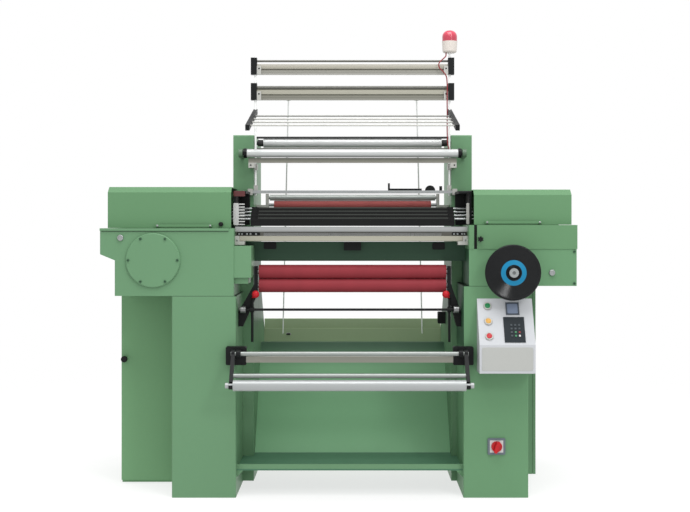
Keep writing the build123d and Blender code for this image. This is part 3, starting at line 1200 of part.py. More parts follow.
def rear_let_off_roller():
    """The rear let-off roller with collars and journals in the side frames."""
    half = REAR_LET_OFF_HALF
    collar = half + REAR_LET_OFF_COLLAR
    end = SIDE_FRAME_INNER_X + REAR_LET_OFF_SOCKET - END_PLAY
    roller = rod_x(-half, half, REAR_LET_OFF_Y, REAR_LET_OFF_Z, REAR_LET_OFF_RADIUS)
    roller += rod_x(-collar, collar, REAR_LET_OFF_Y, REAR_LET_OFF_Z, REAR_LET_OFF_COLLAR_RADIUS)
    return roller + rod_x(-end, end, REAR_LET_OFF_Y, REAR_LET_OFF_Z, LET_OFF_JOURNAL_RADIUS)


def let_off_rail_top():
    """The top of the rail below the front let-off roller."""
    return FRONT_LET_OFF_Z - FRONT_LET_OFF_RADIUS - LET_OFF_RAIL_DROP


def mast_bar(low_z):
    """A grooved guide bar between the mast brackets."""
    half = MAST_BAR_DEPTH / 2
    front = MAST_POLE_Y - half
    bar = block(-MAST_BAR_HALF, MAST_BAR_HALF, front, MAST_POLE_Y + half, low_z, low_z + MAST_BAR_HEIGHT)
    middle = low_z + MAST_BAR_HEIGHT / 2
    return bar - block(-MAST_BAR_HALF - CUT_OVERRUN, MAST_BAR_HALF + CUT_OVERRUN, front - CUT_OVERRUN,
                       front + MAST_BAR_GROOVE_DEPTH, middle - MAST_BAR_GROOVE / 2,
                       middle + MAST_BAR_GROOVE / 2)


def rack_point(share):
    """A point of the rack arm's centreline in (y, z), by its share of the reach."""
    return MAST_POLE_Y - share * RACK_ARM_REACH, RACK_ARM_ROOT_Z - share * RACK_ARM_DROP


def yarn_guide_bars():
    """All fixed cross bars of the yarn path, from the masts down to the guide bar."""
    bars = []
    for low_z, lift, radius in ((UPPER_UNIT_Z, MAST_THIN_BAR_LIFT, MAST_THIN_BAR_RADIUS),
                                (LOWER_UNIT_Z, MAST_ROUND_BAR_LIFT, MAST_ROUND_BAR_RADIUS)):
        bars.append(mast_bar(low_z))
        bars.append(rod_x(-MAST_BAR_HALF, MAST_BAR_HALF, MAST_POLE_Y, low_z + MAST_BAR_HEIGHT + lift, radius))
    bars.append(rod_x(-SIDE_FRAME_INNER_X, SIDE_FRAME_INNER_X, REAR_LET_OFF_Y - STRIPPER_FORWARD,
                      REAR_LET_OFF_Z + STRIPPER_LIFT, STRIPPER_RADIUS))
    rack_half = MAST_POLE_X - RACK_ARM_WIDTH / 2
    for share in RACK_ROD_SHARES:
        y, z = rack_point(share)
        bars.append(rod_x(-rack_half, rack_half, y, z, RACK_ROD_RADIUS))
    rail_top = let_off_rail_top()
    bars.append(block(-LET_OFF_RAIL_HALF, LET_OFF_RAIL_HALF, LET_OFF_RAIL_FRONT_Y,
                      LET_OFF_RAIL_FRONT_Y + LET_OFF_RAIL_DEPTH, rail_top - LET_OFF_RAIL_HEIGHT, rail_top))
    y1 = COLUMN_DEPTH - GUIDE_BAR_BACK_GAP
    half = GUIDE_BAR_SIZE / 2
    bars.append(block(-GUIDE_BAR_HALF, GUIDE_BAR_HALF, y1 - GUIDE_BAR_SIZE, y1,
                      GUIDE_BAR_Z - half, GUIDE_BAR_Z + half))
    return group(bars)


def pole_hole(side):
    """The clamp hole for a mast pole, over the whole mast height."""
    return rod_z(side * MAST_POLE_X, MAST_POLE_Y, 0, MAST_TOP_Z + LAMP_BASE_HEIGHT,
                 MAST_POLE_RADIUS + RUN_FIT)


def mast_bracket(side, low_z):
    """A black bracket that clamps a guide bar unit to a pole."""
    bracket = side_block(side, MAST_BAR_HALF, MAST_POLE_X + MAST_BRACKET_OUTER,
                         MAST_POLE_Y - MAST_BRACKET_FRONT, MAST_POLE_Y + MAST_BRACKET_BACK,
                         low_z, low_z + MAST_BRACKET_HEIGHT)
    return bracket - pole_hole(side)


def rack_arm(side):
    """A slanted rack arm clamped to a pole."""
    run = math.hypot(RACK_ARM_REACH, RACK_ARM_DROP)
    along = (-RACK_ARM_REACH / run, -RACK_ARM_DROP / run)
    up = (RACK_ARM_DROP / run * RACK_ARM_HEIGHT / 2, -RACK_ARM_REACH / run * RACK_ARM_HEIGHT / 2)
    root = (MAST_POLE_Y - along[0] * RACK_ARM_TAIL, RACK_ARM_ROOT_Z - along[1] * RACK_ARM_TAIL)
    tip = rack_point(1)
    outline = [
        (root[0] - up[0], root[1] - up[1]),
        (tip[0] - up[0], tip[1] - up[1]),
        (tip[0] + up[0], tip[1] + up[1]),
        (root[0] + up[0], root[1] + up[1]),
    ]
    half = RACK_ARM_WIDTH / 2
    return prism_x(outline, side * MAST_POLE_X - half, side * MAST_POLE_X + half) - pole_hole(side)


def mast_brackets():
    """The four bar brackets and the two rack arms."""
    pieces = []
    for side in (-1, 1):
        for low_z in (UPPER_UNIT_Z, LOWER_UNIT_Z):
            pieces.append(mast_bracket(side, low_z))
        pieces.append(rack_arm(side))
    return group(pieces)


def stay_block(side):
    """The block that ties a stay rod to the lower guide bar."""
    half = STAY_BLOCK / 2
    back = MAST_POLE_Y + MAST_BAR_DEPTH / 2
    return side_block(side, STAY_TOP_X - half, STAY_TOP_X + half, back, back + STAY_BLOCK,
                      LOWER_UNIT_Z, LOWER_UNIT_Z + STAY_BLOCK)


def stay_rod(side):
    """A stay rod from the lower guide bar back to the rear tie."""
    half = STAY_BLOCK / 2
    top = (side * STAY_TOP_X, MAST_POLE_Y + MAST_BAR_DEPTH / 2 + half, LOWER_UNIT_Z + half)
    foot = (side * STAY_BOTTOM_X, REAR_TIE_FRONT_Y + half, STAY_BOTTOM_Z)
    behind = side_block(side, STAY_TOP_X, STAY_BOTTOM_X + STAY_BLOCK, REAR_TIE_FRONT_Y,
                        REAR_TIE_FRONT_Y + STAY_BLOCK, REAR_TIE_BOTTOM_Z, REAR_TIE_TOP_Z)
    return rod_between(top, foot, STAY_RADIUS) - stay_block(side) - behind


def mast_poles():
    """The two mast poles and the two stay rods; the right pole carries the lamp."""
    poles = []
    for side in (-1, 1):
        top = MAST_TOP_Z + (LAMP_SOCKET_DEPTH if side > 0 else 0)
        poles.append(rod_z(side * MAST_POLE_X, MAST_POLE_Y, MAST_POLE_BOTTOM_Z, top, MAST_POLE_RADIUS))
        poles.append(stay_rod(side))
    return group(poles)


def pole_clamp(side, z):
    """A clamp block that holds a pole to the inside of a side frame."""
    half = POLE_CLAMP_DEPTH / 2
    clamp = side_block(side, MAST_POLE_X - POLE_CLAMP_INNER, SIDE_FRAME_INNER_X, MAST_POLE_Y - half,
                       MAST_POLE_Y + half, z - POLE_CLAMP_HEIGHT / 2, z + POLE_CLAMP_HEIGHT / 2)
    return clamp - pole_hole(side)


def clamp_blocks():
    """All bright clamp blocks: pole clamps, bar clamps, roller arms, plates and needle bar guides."""
    pieces = [
        needle_bar_guide(GEAR_BOX_INNER_X, NEEDLE_BAR_LEFT_X),
        needle_bar_guide(RIGHT_HEAD_INNER_X, NEEDLE_BAR_RIGHT_X),
    ]
    rail_low = let_off_rail_top() - LET_OFF_RAIL_HEIGHT
    guide_half = GUIDE_BLOCK_HEIGHT / 2
    for side in (-1, 1):
        pieces.append(feed_plate(side))
        pieces.append(let_off_arm(side))
        pieces.append(stay_block(side))
        for z in POLE_CLAMP_LEVELS_Z:
            pieces.append(pole_clamp(side, z))
        for low_z in (UPPER_UNIT_Z, LOWER_UNIT_Z):
            front = MAST_POLE_Y - MAST_BAR_DEPTH / 2
            pieces.append(side_block(side, MAST_BAR_HALF - MAST_CLAMP_WIDTH, MAST_BAR_HALF,
                                     front - MAST_CLAMP_DEPTH, front, low_z, low_z + MAST_CLAMP_HEIGHT))
        pieces.append(side_block(side, LET_OFF_RAIL_HALF - LET_OFF_BLOCK_WIDTH, LET_OFF_RAIL_HALF,
                                 LET_OFF_RAIL_FRONT_Y, COLUMN_DEPTH,
                                 rail_low - LET_OFF_BLOCK_HEIGHT, rail_low))
        pieces.append(side_block(side, GUIDE_BAR_HALF, GUIDE_BAR_HALF + GUIDE_BLOCK_WIDTH,
                                 COLUMN_DEPTH - GUIDE_BLOCK_WIDTH, COLUMN_DEPTH,
                                 GUIDE_BAR_Z - guide_half, GUIDE_BAR_Z + guide_half))
    return group(pieces)


def chute_sheet():
    """The fabric tray and chute, one folded sheet, narrowed between the side frames."""
    fold = [
        (TRAY_FRONT_Y, TRAY_LIP_Z),
        (TRAY_FRONT_Y, TRAY_FLOOR_Z),
        (TRAY_FLOOR_BACK_Y, TRAY_FLOOR_Z),
        (CHUTE_TOP_Y, CHUTE_TOP_Z),
        (CHUTE_TOP_Y + CHUTE_FLANGE, CHUTE_TOP_Z),
    ]
    sheet = prism_x(folded_outline(fold, TRAY_SHEET), LEFT_COLUMN_INNER_X, RIGHT_COLUMN_INNER_X)
    for edge, side in ((LEFT_COLUMN_INNER_X, -1), (RIGHT_COLUMN_INNER_X, 1)):
        sheet -= block(edge + side * CUT_OVERRUN, side * SIDE_FRAME_INNER_X, COLUMN_DEPTH,
                       SIDE_FRAME_BACK_Y, 0, SIDE_FRAME_STEP_HIGH_Z)
    return sheet


def rear_tie():
    """The folded tie panel at the back, stepped at its seam, with a slot."""
    fold = [
        (SIDE_FRAME_BACK_Y, REAR_TIE_TOP_Z),
        (REAR_TIE_FRONT_Y + REAR_TIE_LEDGE, REAR_TIE_TOP_Z),
        (REAR_TIE_FRONT_Y + REAR_TIE_LEDGE, REAR_TIE_SEAM_Z),
        (REAR_TIE_FRONT_Y, REAR_TIE_SEAM_Z),
        (REAR_TIE_FRONT_Y, REAR_TIE_BOTTOM_Z),
        (SIDE_FRAME_BACK_Y, REAR_TIE_BOTTOM_Z),
    ]
    panel = prism_x(folded_outline(fold, TRAY_SHEET), -SIDE_FRAME_INNER_X, SIDE_FRAME_INNER_X)
    slot = Pos(REAR_TIE_HOLE_X, REAR_TIE_FRONT_Y, REAR_TIE_HOLE_Z) * Rot(90, 0, 0) \
        * SlotOverall(REAR_TIE_HOLE_LENGTH, REAR_TIE_HOLE_HEIGHT)
    return panel - extrude(slot, amount=TRAY_SHEET + CUT_OVERRUN, both=True)


def winding_bracket(side):
    """A bracket on a column front with a lug that holds the winding tube."""
    inner = LEFT_COLUMN_INNER_X if side < 0 else RIGHT_COLUMN_INNER_X
    body = block(inner + side * WIND_BRACKET_OUT, inner - side * WIND_BRACKET_IN, -WIND_BRACKET_DEPTH, 0,
                 WIND_BRACKET_LOW_Z, WIND_BRACKET_HIGH_Z)
    body = fillet(body.edges().filter_by(Axis.Y), WIND_BRACKET_EDGE)
    far = WIND_CENTRE_X + side * (WIND_ROLLER_HALF - WIND_ARM_GAP)
    near = far - side * WIND_LUG_WIDTH
    body += rod_x(near, far, WIND_TUBE_Y, WIND_TUBE_Z, WIND_LUG_RADIUS)
    body += block(near, far, WIND_TUBE_Y, -WIND_BRACKET_DEPTH, WIND_TUBE_Z - WIND_LUG_RADIUS,
                  WIND_TUBE_Z + WIND_LUG_RADIUS)
    return body - rod_x(near - side * CUT_OVERRUN, far + side * CUT_OVERRUN, WIND_TUBE_Y, WIND_TUBE_Z,
                        WIND_TUBE_RADIUS + RUN_FIT)


def winding_reach():
    """The distance from the unit's middle to the outer face of a winding arm."""
    return WIND_ROLLER_HALF + WIND_ARM_GAP + WIND_ARM_WIDTH


def winding_bars():
    """The pivot tube and the rail between the winding brackets."""
    half = winding_reach() + WIND_TUBE_END
    tube = rod_x(WIND_CENTRE_X - half, WIND_CENTRE_X + half, WIND_TUBE_Y, WIND_TUBE_Z, WIND_TUBE_RADIUS)
    rail = block(LEFT_COLUMN_INNER_X + WIND_BRACKET_IN, RIGHT_COLUMN_INNER_X - WIND_BRACKET_IN,
                 -WIND_BRACKET_DEPTH, WIND_RAIL_DEPTH - WIND_BRACKET_DEPTH,
                 WIND_RAIL_LOW_Z, WIND_RAIL_LOW_Z + WIND_RAIL_HEIGHT)
    return group([tube, rail])


def winding_arm(side):
    """A swinging arm with a bore on the tube and an open hook for the roller journal."""
    far = WIND_CENTRE_X + side * winding_reach()
    near = far - side * WIND_ARM_WIDTH
    run = math.hypot(WIND_ROLLER_FORWARD, WIND_ROLLER_DROP)
    across = (-WIND_ROLLER_DROP / run, WIND_ROLLER_FORWARD / run)

    shift = (across[0] * WIND_ARM_HALF, across[1] * WIND_ARM_HALF)
    tube = (WIND_TUBE_Y, WIND_TUBE_Z)
    hook = (WIND_ROLLER_Y, WIND_ROLLER_Z)
    strip = [(tube[0] + shift[0], tube[1] + shift[1]), (hook[0] + shift[0], hook[1] + shift[1]),
             (hook[0] - shift[0], hook[1] - shift[1]), (tube[0] - shift[0], tube[1] - shift[1])]
    arm = prism_x(strip, near, far)
    arm += rod_x(near, far, *tube, WIND_ARM_BOSS_RADIUS) + rod_x(near, far, *hook, WIND_HOOK_RADIUS)
    cut_near = near - side * CUT_OVERRUN
    cut_far = far + side * CUT_OVERRUN
    arm -= rod_x(cut_near, cut_far, *tube, WIND_TUBE_RADIUS + RUN_FIT)
    arm -= rod_x(cut_near, cut_far, *hook, WIND_JOURNAL_RADIUS + RUN_FIT)
    mouth = WIND_HOOK_RADIUS + CUT_OVERRUN
    gap = WIND_JOURNAL_RADIUS + SEAT_GAP
    along = (-across[1] * gap, across[0] * gap)
    outline = [(hook[0] + along[0], hook[1] + along[1]),
               (hook[0] + along[0] + across[0] * mouth, hook[1] + along[1] + across[1] * mouth),
               (hook[0] - along[0] + across[0] * mouth, hook[1] - along[1] + across[1] * mouth),
               (hook[0] - along[0], hook[1] - along[1])]
    return arm - prism_x(outline, cut_near, cut_far)


def winding_arms():
    """Both arms and the stay between them."""
    half = WIND_ROLLER_HALF + WIND_ARM_GAP
    y = WIND_TUBE_Y - WIND_STAY_SHARE * WIND_ROLLER_FORWARD
    z = WIND_TUBE_Z - WIND_STAY_SHARE * WIND_ROLLER_DROP
    stay = rod_x(WIND_CENTRE_X - half, WIND_CENTRE_X + half, y, z, WIND_STAY_RADIUS)
    return group([winding_arm(-1), winding_arm(1), stay])


def winding_roller():
    """The winding roller with its journals and end nuts."""
    nut_start = winding_reach() + WIND_ARM_GAP
    roller = rod_x(WIND_CENTRE_X - WIND_ROLLER_HALF, WIND_CENTRE_X + WIND_ROLLER_HALF, WIND_ROLLER_Y,
                   WIND_ROLLER_Z, WIND_ROLLER_RADIUS)
    roller += rod_x(WIND_CENTRE_X - nut_start, WIND_CENTRE_X + nut_start, WIND_ROLLER_Y, WIND_ROLLER_Z,
                    WIND_JOURNAL_RADIUS)
    for side in (-1, 1):
        start = WIND_CENTRE_X + side * nut_start
        roller += rod_x(start, start + side * WIND_NUT_LENGTH, WIND_ROLLER_Y, WIND_ROLLER_Z, WIND_NUT_RADIUS)
    return roller


def panel_plane(x, share):
    """A plane on the console's sloping panel, by x and the share of the slope from its top."""
    drop = CONSOLE_TOP_Z - CONSOLE_KNEE_Z
    origin = (x, -CONSOLE_REACH * share, CONSOLE_TOP_Z - drop * share)
    return Plane(origin=origin, x_dir=(1, 0, 0), z_dir=(0, -drop, CONSOLE_REACH))


def panel_rod(share, radius, low, high):
    """A round bar square to the panel at a button, from one height to another."""
    return panel_plane(BUTTON_X, share) * Pos(0, 0, (low + high) / 2) * Cylinder(radius, high - low)


def console():
    """The console housing with a bezel and a well for each button."""
    outline = [(0, CONSOLE_TOP_Z), (-CONSOLE_REACH, CONSOLE_KNEE_Z), (-CONSOLE_REACH, CONSOLE_BOTTOM_Z),
               (0, CONSOLE_BOTTOM_Z)]
    body = prism_x(outline, CONSOLE_LEFT_X, CONSOLE_RIGHT_X)
    body = fillet(body.edges().filter_by(Axis.X).group_by(Axis.Y)[0], CONSOLE_EDGE)
    for share in BUTTON_SHARES:
        body += panel_rod(share, BUTTON_BEZEL_RADIUS, -CUT_OVERRUN, BUTTON_BEZEL_HEIGHT)
        body -= panel_rod(share, BUTTON_RADIUS + SEAT_GAP, -BUTTON_STEM, BUTTON_BEZEL_HEIGHT + CUT_OVERRUN)
    return body


def push_button(share):
    """A push button in its well, with room for its travel."""
    return panel_rod(share, BUTTON_RADIUS, BUTTON_TRAVEL + END_PLAY - BUTTON_STEM, BUTTON_PROUD)


def panel_plate(left_x, width, top_share, bottom_share):
    """A plate on the sloping panel, as its plane and its length down the slope."""
    slope = math.hypot(CONSOLE_REACH, CONSOLE_TOP_Z - CONSOLE_KNEE_Z)
    length = slope * (bottom_share - top_share)
    plane = panel_plane(left_x + width / 2, (top_share + bottom_share) / 2)
    return plane, length, plane * Pos(0, 0, PANEL_PLATE / 2) * Box(width, length, PANEL_PLATE)


def console_keypad():
    """The keypad with its raised keys, and the framed display above it."""
    plane, _, keypad = panel_plate(KEYPAD_LEFT_X, KEYPAD_WIDTH, KEYPAD_TOP_SHARE, KEYPAD_BOTTOM_SHARE)
    for column_index in range(KEY_COLUMNS):
        for row_index in range(KEY_ROWS):
            x = (column_index - (KEY_COLUMNS - 1) / 2) * KEY_PITCH + KEY_FIELD_OFFSET
            y = (row_index - (KEY_ROWS - 1) / 2) * KEY_PITCH - KEY_FIELD_OFFSET
            key = Box(KEY_SIZE, KEY_SIZE, 2 * KEY_HEIGHT)
            keypad += plane * Pos(x, y, PANEL_PLATE) * key
    plane, length, display = panel_plate(DISPLAY_LEFT_X, DISPLAY_WIDTH, DISPLAY_TOP_SHARE,
                                         DISPLAY_BOTTOM_SHARE)
    glass = Box(DISPLAY_WIDTH - 2 * DISPLAY_FRAME, length - 2 * DISPLAY_FRAME, PANEL_PLATE)
    display -= plane * Pos(0, 0, PANEL_PLATE) * glass
    return group([keypad, display])


def switch_plate():
    """The base plate of the main switch."""
    half_width = SWITCH_WIDTH / 2
    half_height = SWITCH_HEIGHT / 2
    plate = block(SWITCH_X - half_width, SWITCH_X + half_width, -SWITCH_PLATE, 0,
                  SWITCH_Z - half_height, SWITCH_Z + half_height)
    plate = fillet(plate.edges().filter_by(Axis.Y), SWITCH_CORNER)
    return plate - rod_y(SWITCH_X, -SWITCH_PLATE - CUT_OVERRUN, CUT_OVERRUN, SWITCH_Z,
                         SWITCH_SPINDLE_RADIUS + RUN_FIT)


def switch_handle():
    """The rotary handle of the main switch on its spindle."""
    seat = -SWITCH_PLATE - SEAT_GAP
    disc = rod_y(SWITCH_X, seat - SWITCH_DISC_HEIGHT, seat, SWITCH_Z, SWITCH_DISC_RADIUS)
    top = seat - SWITCH_DISC_HEIGHT
    grip = Box(SWITCH_GRIP_LENGTH, SWITCH_GRIP_HEIGHT, SWITCH_GRIP_WIDTH)
    grip = fillet(grip.edges().filter_by(Axis.Y), SWITCH_GRIP_WIDTH / 3)
    grip = Pos(SWITCH_X, top - SWITCH_GRIP_HEIGHT / 2, SWITCH_Z) * Rot(0, -90 + SWITCH_TILT, 0) * grip
    spindle = rod_y(SWITCH_X, seat, SWITCH_SPINDLE_DEPTH - END_PLAY, SWITCH_Z, SWITCH_SPINDLE_RADIUS)
    return disc + grip + spindle


def handwheel():
    """A dished handwheel with a round rim, its shaft, and a turned boss on its hub."""
    rim_in = WHEEL_RADIUS - WHEEL_RIM_HALF
    rim_back = WHEEL_RIM_Y + WHEEL_RIM_HALF
    web_back = WHEEL_HUB_Y + WHEEL_WEB
    shaft_end = WHEEL_SHAFT_DEPTH - END_PLAY
    rim_front = WHEEL_RIM_Y - WHEEL_RIM_HALF
    front = Polyline((0, WHEEL_HUB_Y), (WHEEL_HUB_RADIUS, WHEEL_HUB_Y), (rim_in, rim_front))
    rim = ThreePointArc((rim_in, rim_front), (WHEEL_RADIUS, WHEEL_RIM_Y), (rim_in, rim_back))
    back = Polyline((rim_in, rim_back), (rim_in - WHEEL_RIM_HALF, WHEEL_RIM_Y), (WHEEL_HUB_RADIUS, web_back),
                    (WHEEL_BACK_HUB_RADIUS, web_back), (WHEEL_BACK_HUB_RADIUS, WHEEL_BACK_HUB_Y),
                    (WHEEL_SHAFT_RADIUS, WHEEL_BACK_HUB_Y), (WHEEL_SHAFT_RADIUS, shaft_end), (0, shaft_end),
                    (0, WHEEL_HUB_Y))
    wheel = revolve(make_face(front + rim + back), axis=Axis.Y)
    boss = rod_y(0, WHEEL_HUB_Y - WHEEL_BOSS_HEIGHT, WHEEL_HUB_Y, 0, WHEEL_BOSS_RADIUS)
    boss -= rod_y(0, WHEEL_HUB_Y - WHEEL_BOSS_HEIGHT - CUT_OVERRUN, WHEEL_HUB_Y, 0, WHEEL_BOSS_HOLE_RADIUS)
    return Pos(WHEEL_X, 0, WHEEL_Z) * group([wheel, boss])


def main_motor():
    """The finned drive motor on its foot, bored for its shaft."""
    start = MOTOR_X - MOTOR_LENGTH / 2
    end = MOTOR_X + MOTOR_LENGTH / 2
    motor = rod_x(start, end, MOTOR_Y, MOTOR_Z, MOTOR_RADIUS)
    for index in range(MOTOR_FIN_COUNT):
        fin = Box(MOTOR_LENGTH, MOTOR_FIN_WIDTH, MOTOR_FIN_HEIGHT + CUT_OVERRUN)
        lift = MOTOR_RADIUS + (MOTOR_FIN_HEIGHT - CUT_OVERRUN) / 2
        turn = Rot(360 * index / MOTOR_FIN_COUNT, 0, 0)
        motor += Pos(MOTOR_X, MOTOR_Y, MOTOR_Z) * turn * Pos(0, 0, lift) * fin
    motor += block(MOTOR_X - MOTOR_FOOT_LENGTH / 2, MOTOR_X + MOTOR_FOOT_LENGTH / 2,
                   MOTOR_Y - MOTOR_FOOT_WIDTH / 2, MOTOR_Y + MOTOR_FOOT_WIDTH / 2, CABINET_WALL, MOTOR_Z)
    return motor - rod_x(end - MOTOR_SHAFT_LENGTH, end + CUT_OVERRUN, MOTOR_Y, MOTOR_Z,
                         MOTOR_SHAFT_RADIUS + RUN_FIT)


def motor_pulley():
    """The motor pulley on the motor shaft."""
    shaft_start = MOTOR_X + MOTOR_LENGTH / 2 - MOTOR_SHAFT_LENGTH + END_PLAY
    pulley = rod_x(PULLEY_LEFT_X, PULLEY_LEFT_X + PULLEY_WIDTH, MOTOR_Y, MOTOR_Z, MOTOR_PULLEY_RADIUS)
    return pulley + rod_x(shaft_start, PULLEY_LEFT_X, MOTOR_Y, MOTOR_Z, MOTOR_SHAFT_RADIUS)


def main_pulley():
    """The driven pulley, dished on both sides, on a shaft in the cabinet wall."""
    right = PULLEY_LEFT_X + PULLEY_WIDTH
    pulley = rod_x(PULLEY_LEFT_X, right, MOTOR_Y, MAIN_PULLEY_Z, MAIN_PULLEY_RADIUS)
    dish_radius = MAIN_PULLEY_RADIUS - PULLEY_RIM
    dish = (PULLEY_WIDTH - PULLEY_WEB) / 2
    left = PULLEY_LEFT_X
    for start, end in ((left - CUT_OVERRUN, left + dish), (right - dish, right + CUT_OVERRUN)):
        ring = rod_x(start, end, MOTOR_Y, MAIN_PULLEY_Z, dish_radius)
        pulley -= ring - rod_x(start, end, MOTOR_Y, MAIN_PULLEY_Z, PULLEY_HUB_RADIUS)
    shaft_end = LEFT_COLUMN_OUTER_X - CABINET_WALL - END_PLAY
    return pulley + rod_x(right, shaft_end, MOTOR_Y, MAIN_PULLEY_Z, PULLEY_SHAFT_RADIUS)


def belt_loop(extra):
    """The outline round both pulleys, grown by an extra radius."""
    small = Pos(MOTOR_Y, MOTOR_Z) * Circle(MOTOR_PULLEY_RADIUS + extra)
    large = Pos(MOTOR_Y, MAIN_PULLEY_Z) * Circle(MAIN_PULLEY_RADIUS + extra)
    return Plane.YZ * make_hull(small.edges() + large.edges())


def drive_belt():
    """The belt round the two pulleys."""
    outer = extrude(belt_loop(SEAT_GAP + BELT_THICKNESS), amount=BELT_WIDTH / 2, both=True)
    inner = extrude(belt_loop(SEAT_GAP), amount=BELT_WIDTH, both=True)
    return Pos(PULLEY_MIDDLE_X, 0, 0) * (outer - inner)


def lamp_base():
    """The cream foot of the warning lamp, bored for the pole."""
    foot = Pos(MAST_POLE_X, MAST_POLE_Y, MAST_TOP_Z + LAMP_BASE_HEIGHT / 2) \
        * Cone(LAMP_BASE_FOOT_RADIUS, LAMP_BASE_RADIUS, LAMP_BASE_HEIGHT)
    foot = fillet(foot.edges().group_by(Axis.Z)[0], LAMP_BASE_EDGE)
    return foot - rod_z(MAST_POLE_X, MAST_POLE_Y, MAST_TOP_Z - CUT_OVERRUN, MAST_TOP_Z + LAMP_SOCKET_DEPTH,
                        MAST_POLE_RADIUS + RUN_FIT)


def lamp_lens():
    """The domed lens of the warning lamp."""
    foot_z = MAST_TOP_Z + LAMP_BASE_HEIGHT
    lens = rod_z(MAST_POLE_X, MAST_POLE_Y, foot_z, foot_z + LAMP_LENS_HEIGHT, LAMP_LENS_RADIUS)
    return fillet(lens.edges().sort_by(Axis.Z)[-1], LAMP_LENS_CROWN)


def cable_radii(points):
    """The arc radius at each inner point: as large as its two runs allow."""
    radii = []
    for before, here, after in zip(points, points[1:], points[2:]):
        first = Vector(*here) - Vector(*before)
        second = Vector(*after) - Vector(*here)
        half_turn = math.radians(first.get_angle(second)) / 2
        radii.append(CABLE_RUN_SHARE * min(first.length, second.length) / math.tan(half_turn))
    return radii


def lamp_cable():
    """The lamp lead: a loop under the lamp, then down beside the pole into the side frame."""
    points = [(x, y, MAST_TOP_Z - drop) for x, y, drop in LAMP_CABLE_ROUTE]
    radii = cable_radii(points)
    print("lamp cable radii", [round(radius, 1) for radius in radii])
    path = FilletPolyline(*points, radius=radii)
    tube = sweep(Plane(path @ 0, z_dir=path % 0) * Circle(LAMP_CABLE_RADIUS), path=path)
    section = math.pi * LAMP_CABLE_RADIUS ** 2
    share = tube.volume / section / path.length
    print("lamp cable length", round(path.length, 1), "volume share", round(share, 4))
    return tube


def nodes():
    """Every node of the machine by its name."""
    pieces = {
        "left_column": column(LEFT_COLUMN_OUTER_X, LEFT_COLUMN_INNER_X, LEFT_COLUMN_HEIGHT),
        "right_column": right_column(),
        "left_side_frame": side_frame(-1),
        "right_side_frame": side_frame(1),
        "left_cabinet": left_cabinet(),
        "cabinet_door": cabinet_door(),
        "right_cabinet": right_cabinet(),
        "left_gear_box": left_gear_box(),
        "gear_box_cover": gear_box_cover(),
        "cover_bolts": cover_bolts(),
        "oil_sights": group([oil_sight(LEFT_SIGHT_X, LEFT_SIGHT_Z), oil_sight(RIGHT_SIGHT_X, RIGHT_SIGHT_Z)]),
        "right_head_box": right_head_box(),
        "right_head_band": right_head_band(),
        "head_knob": head_knob(),
        "left_cover": left_cover(),
        "right_cover": right_cover(),
        "bar_end_frames": mirror_sides(bar_end_frame),
        "pattern_drum": pattern_drum(),
        "bed_front_plate": bed_front_plate(),
        "needle_bar": needle_bar(),
        "bed_beam": bed_beam(),
        "main_shaft": main_shaft(),
        "stop_motion_parts": stop_motion_parts(),
        "take_down_brackets": mirror_sides(take_down_bracket),
        "upper_take_down_roller": take_down_roller(UPPER_ROLLER_Z),
        "lower_take_down_roller": take_down_roller(LOWER_ROLLER_Z),
        "take_down_gear_case": take_down_gear_case(),
        "pressure_levers": pressure_levers(),
        "feed_roller": feed_pair_roller(FEED_ROLLER_HALF, FEED_ROLLER_Z, FEED_ROLLER_RADIUS),
        "pull_roller": feed_pair_roller(PULL_ROLLER_HALF, PULL_ROLLER_Z, PULL_ROLLER_RADIUS),
        "front_let_off_roller": front_let_off_roller(),
        "rear_let_off_roller": rear_let_off_roller(),
        "yarn_guide_bars": yarn_guide_bars(),
        "mast_brackets": mast_brackets(),
        "mast_poles": mast_poles(),
        "clamp_blocks": clamp_blocks(),
        "chute_tray": group([chute_sheet(), rear_tie()]),
        "winding_brackets": mirror_sides(winding_bracket),
        "winding_bars": winding_bars(),
        "winding_arms": winding_arms(),
        "winding_roller": winding_roller(),
        "console": console(),
        "console_keypad": console_keypad(),
        "switch_plate": switch_plate(),
        "switch_handle": switch_handle(),
        "handwheel": handwheel(),
        "main_motor": main_motor(),
        "motor_pulley": motor_pulley(),
        "main_pulley": main_pulley(),
        "drive_belt": drive_belt(),
        "lamp_base": lamp_base(),
        "lamp_lens": lamp_lens(),
        "lamp_cable": lamp_cable(),
    }
    for name, share in zip(("start_button", "inch_button", "stop_button"), BUTTON_SHARES):
        pieces[name] = push_button(share)
    for index in range(WEFT_BAR_COUNT):
        pieces[f"weft_bar_{index + 1}"] = weft_bar(index)
    return pieces


def main():
    """Move every piece to the row's origin and write one file for each node."""
    os.makedirs("parts", exist_ok=True)
    for name, piece in nodes().items():
        export_step(Pos(ROW_SHIFT_X, ROW_SHIFT_Y, 0) * piece, f"parts/{name}.step")


main()
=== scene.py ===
"""The looks of a crochet knitting machine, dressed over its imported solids."""

import logging
import math
from dataclasses import dataclass
from enum import Enum
from typing import Dict, NamedTuple, Optional, Sequence, Tuple, Union

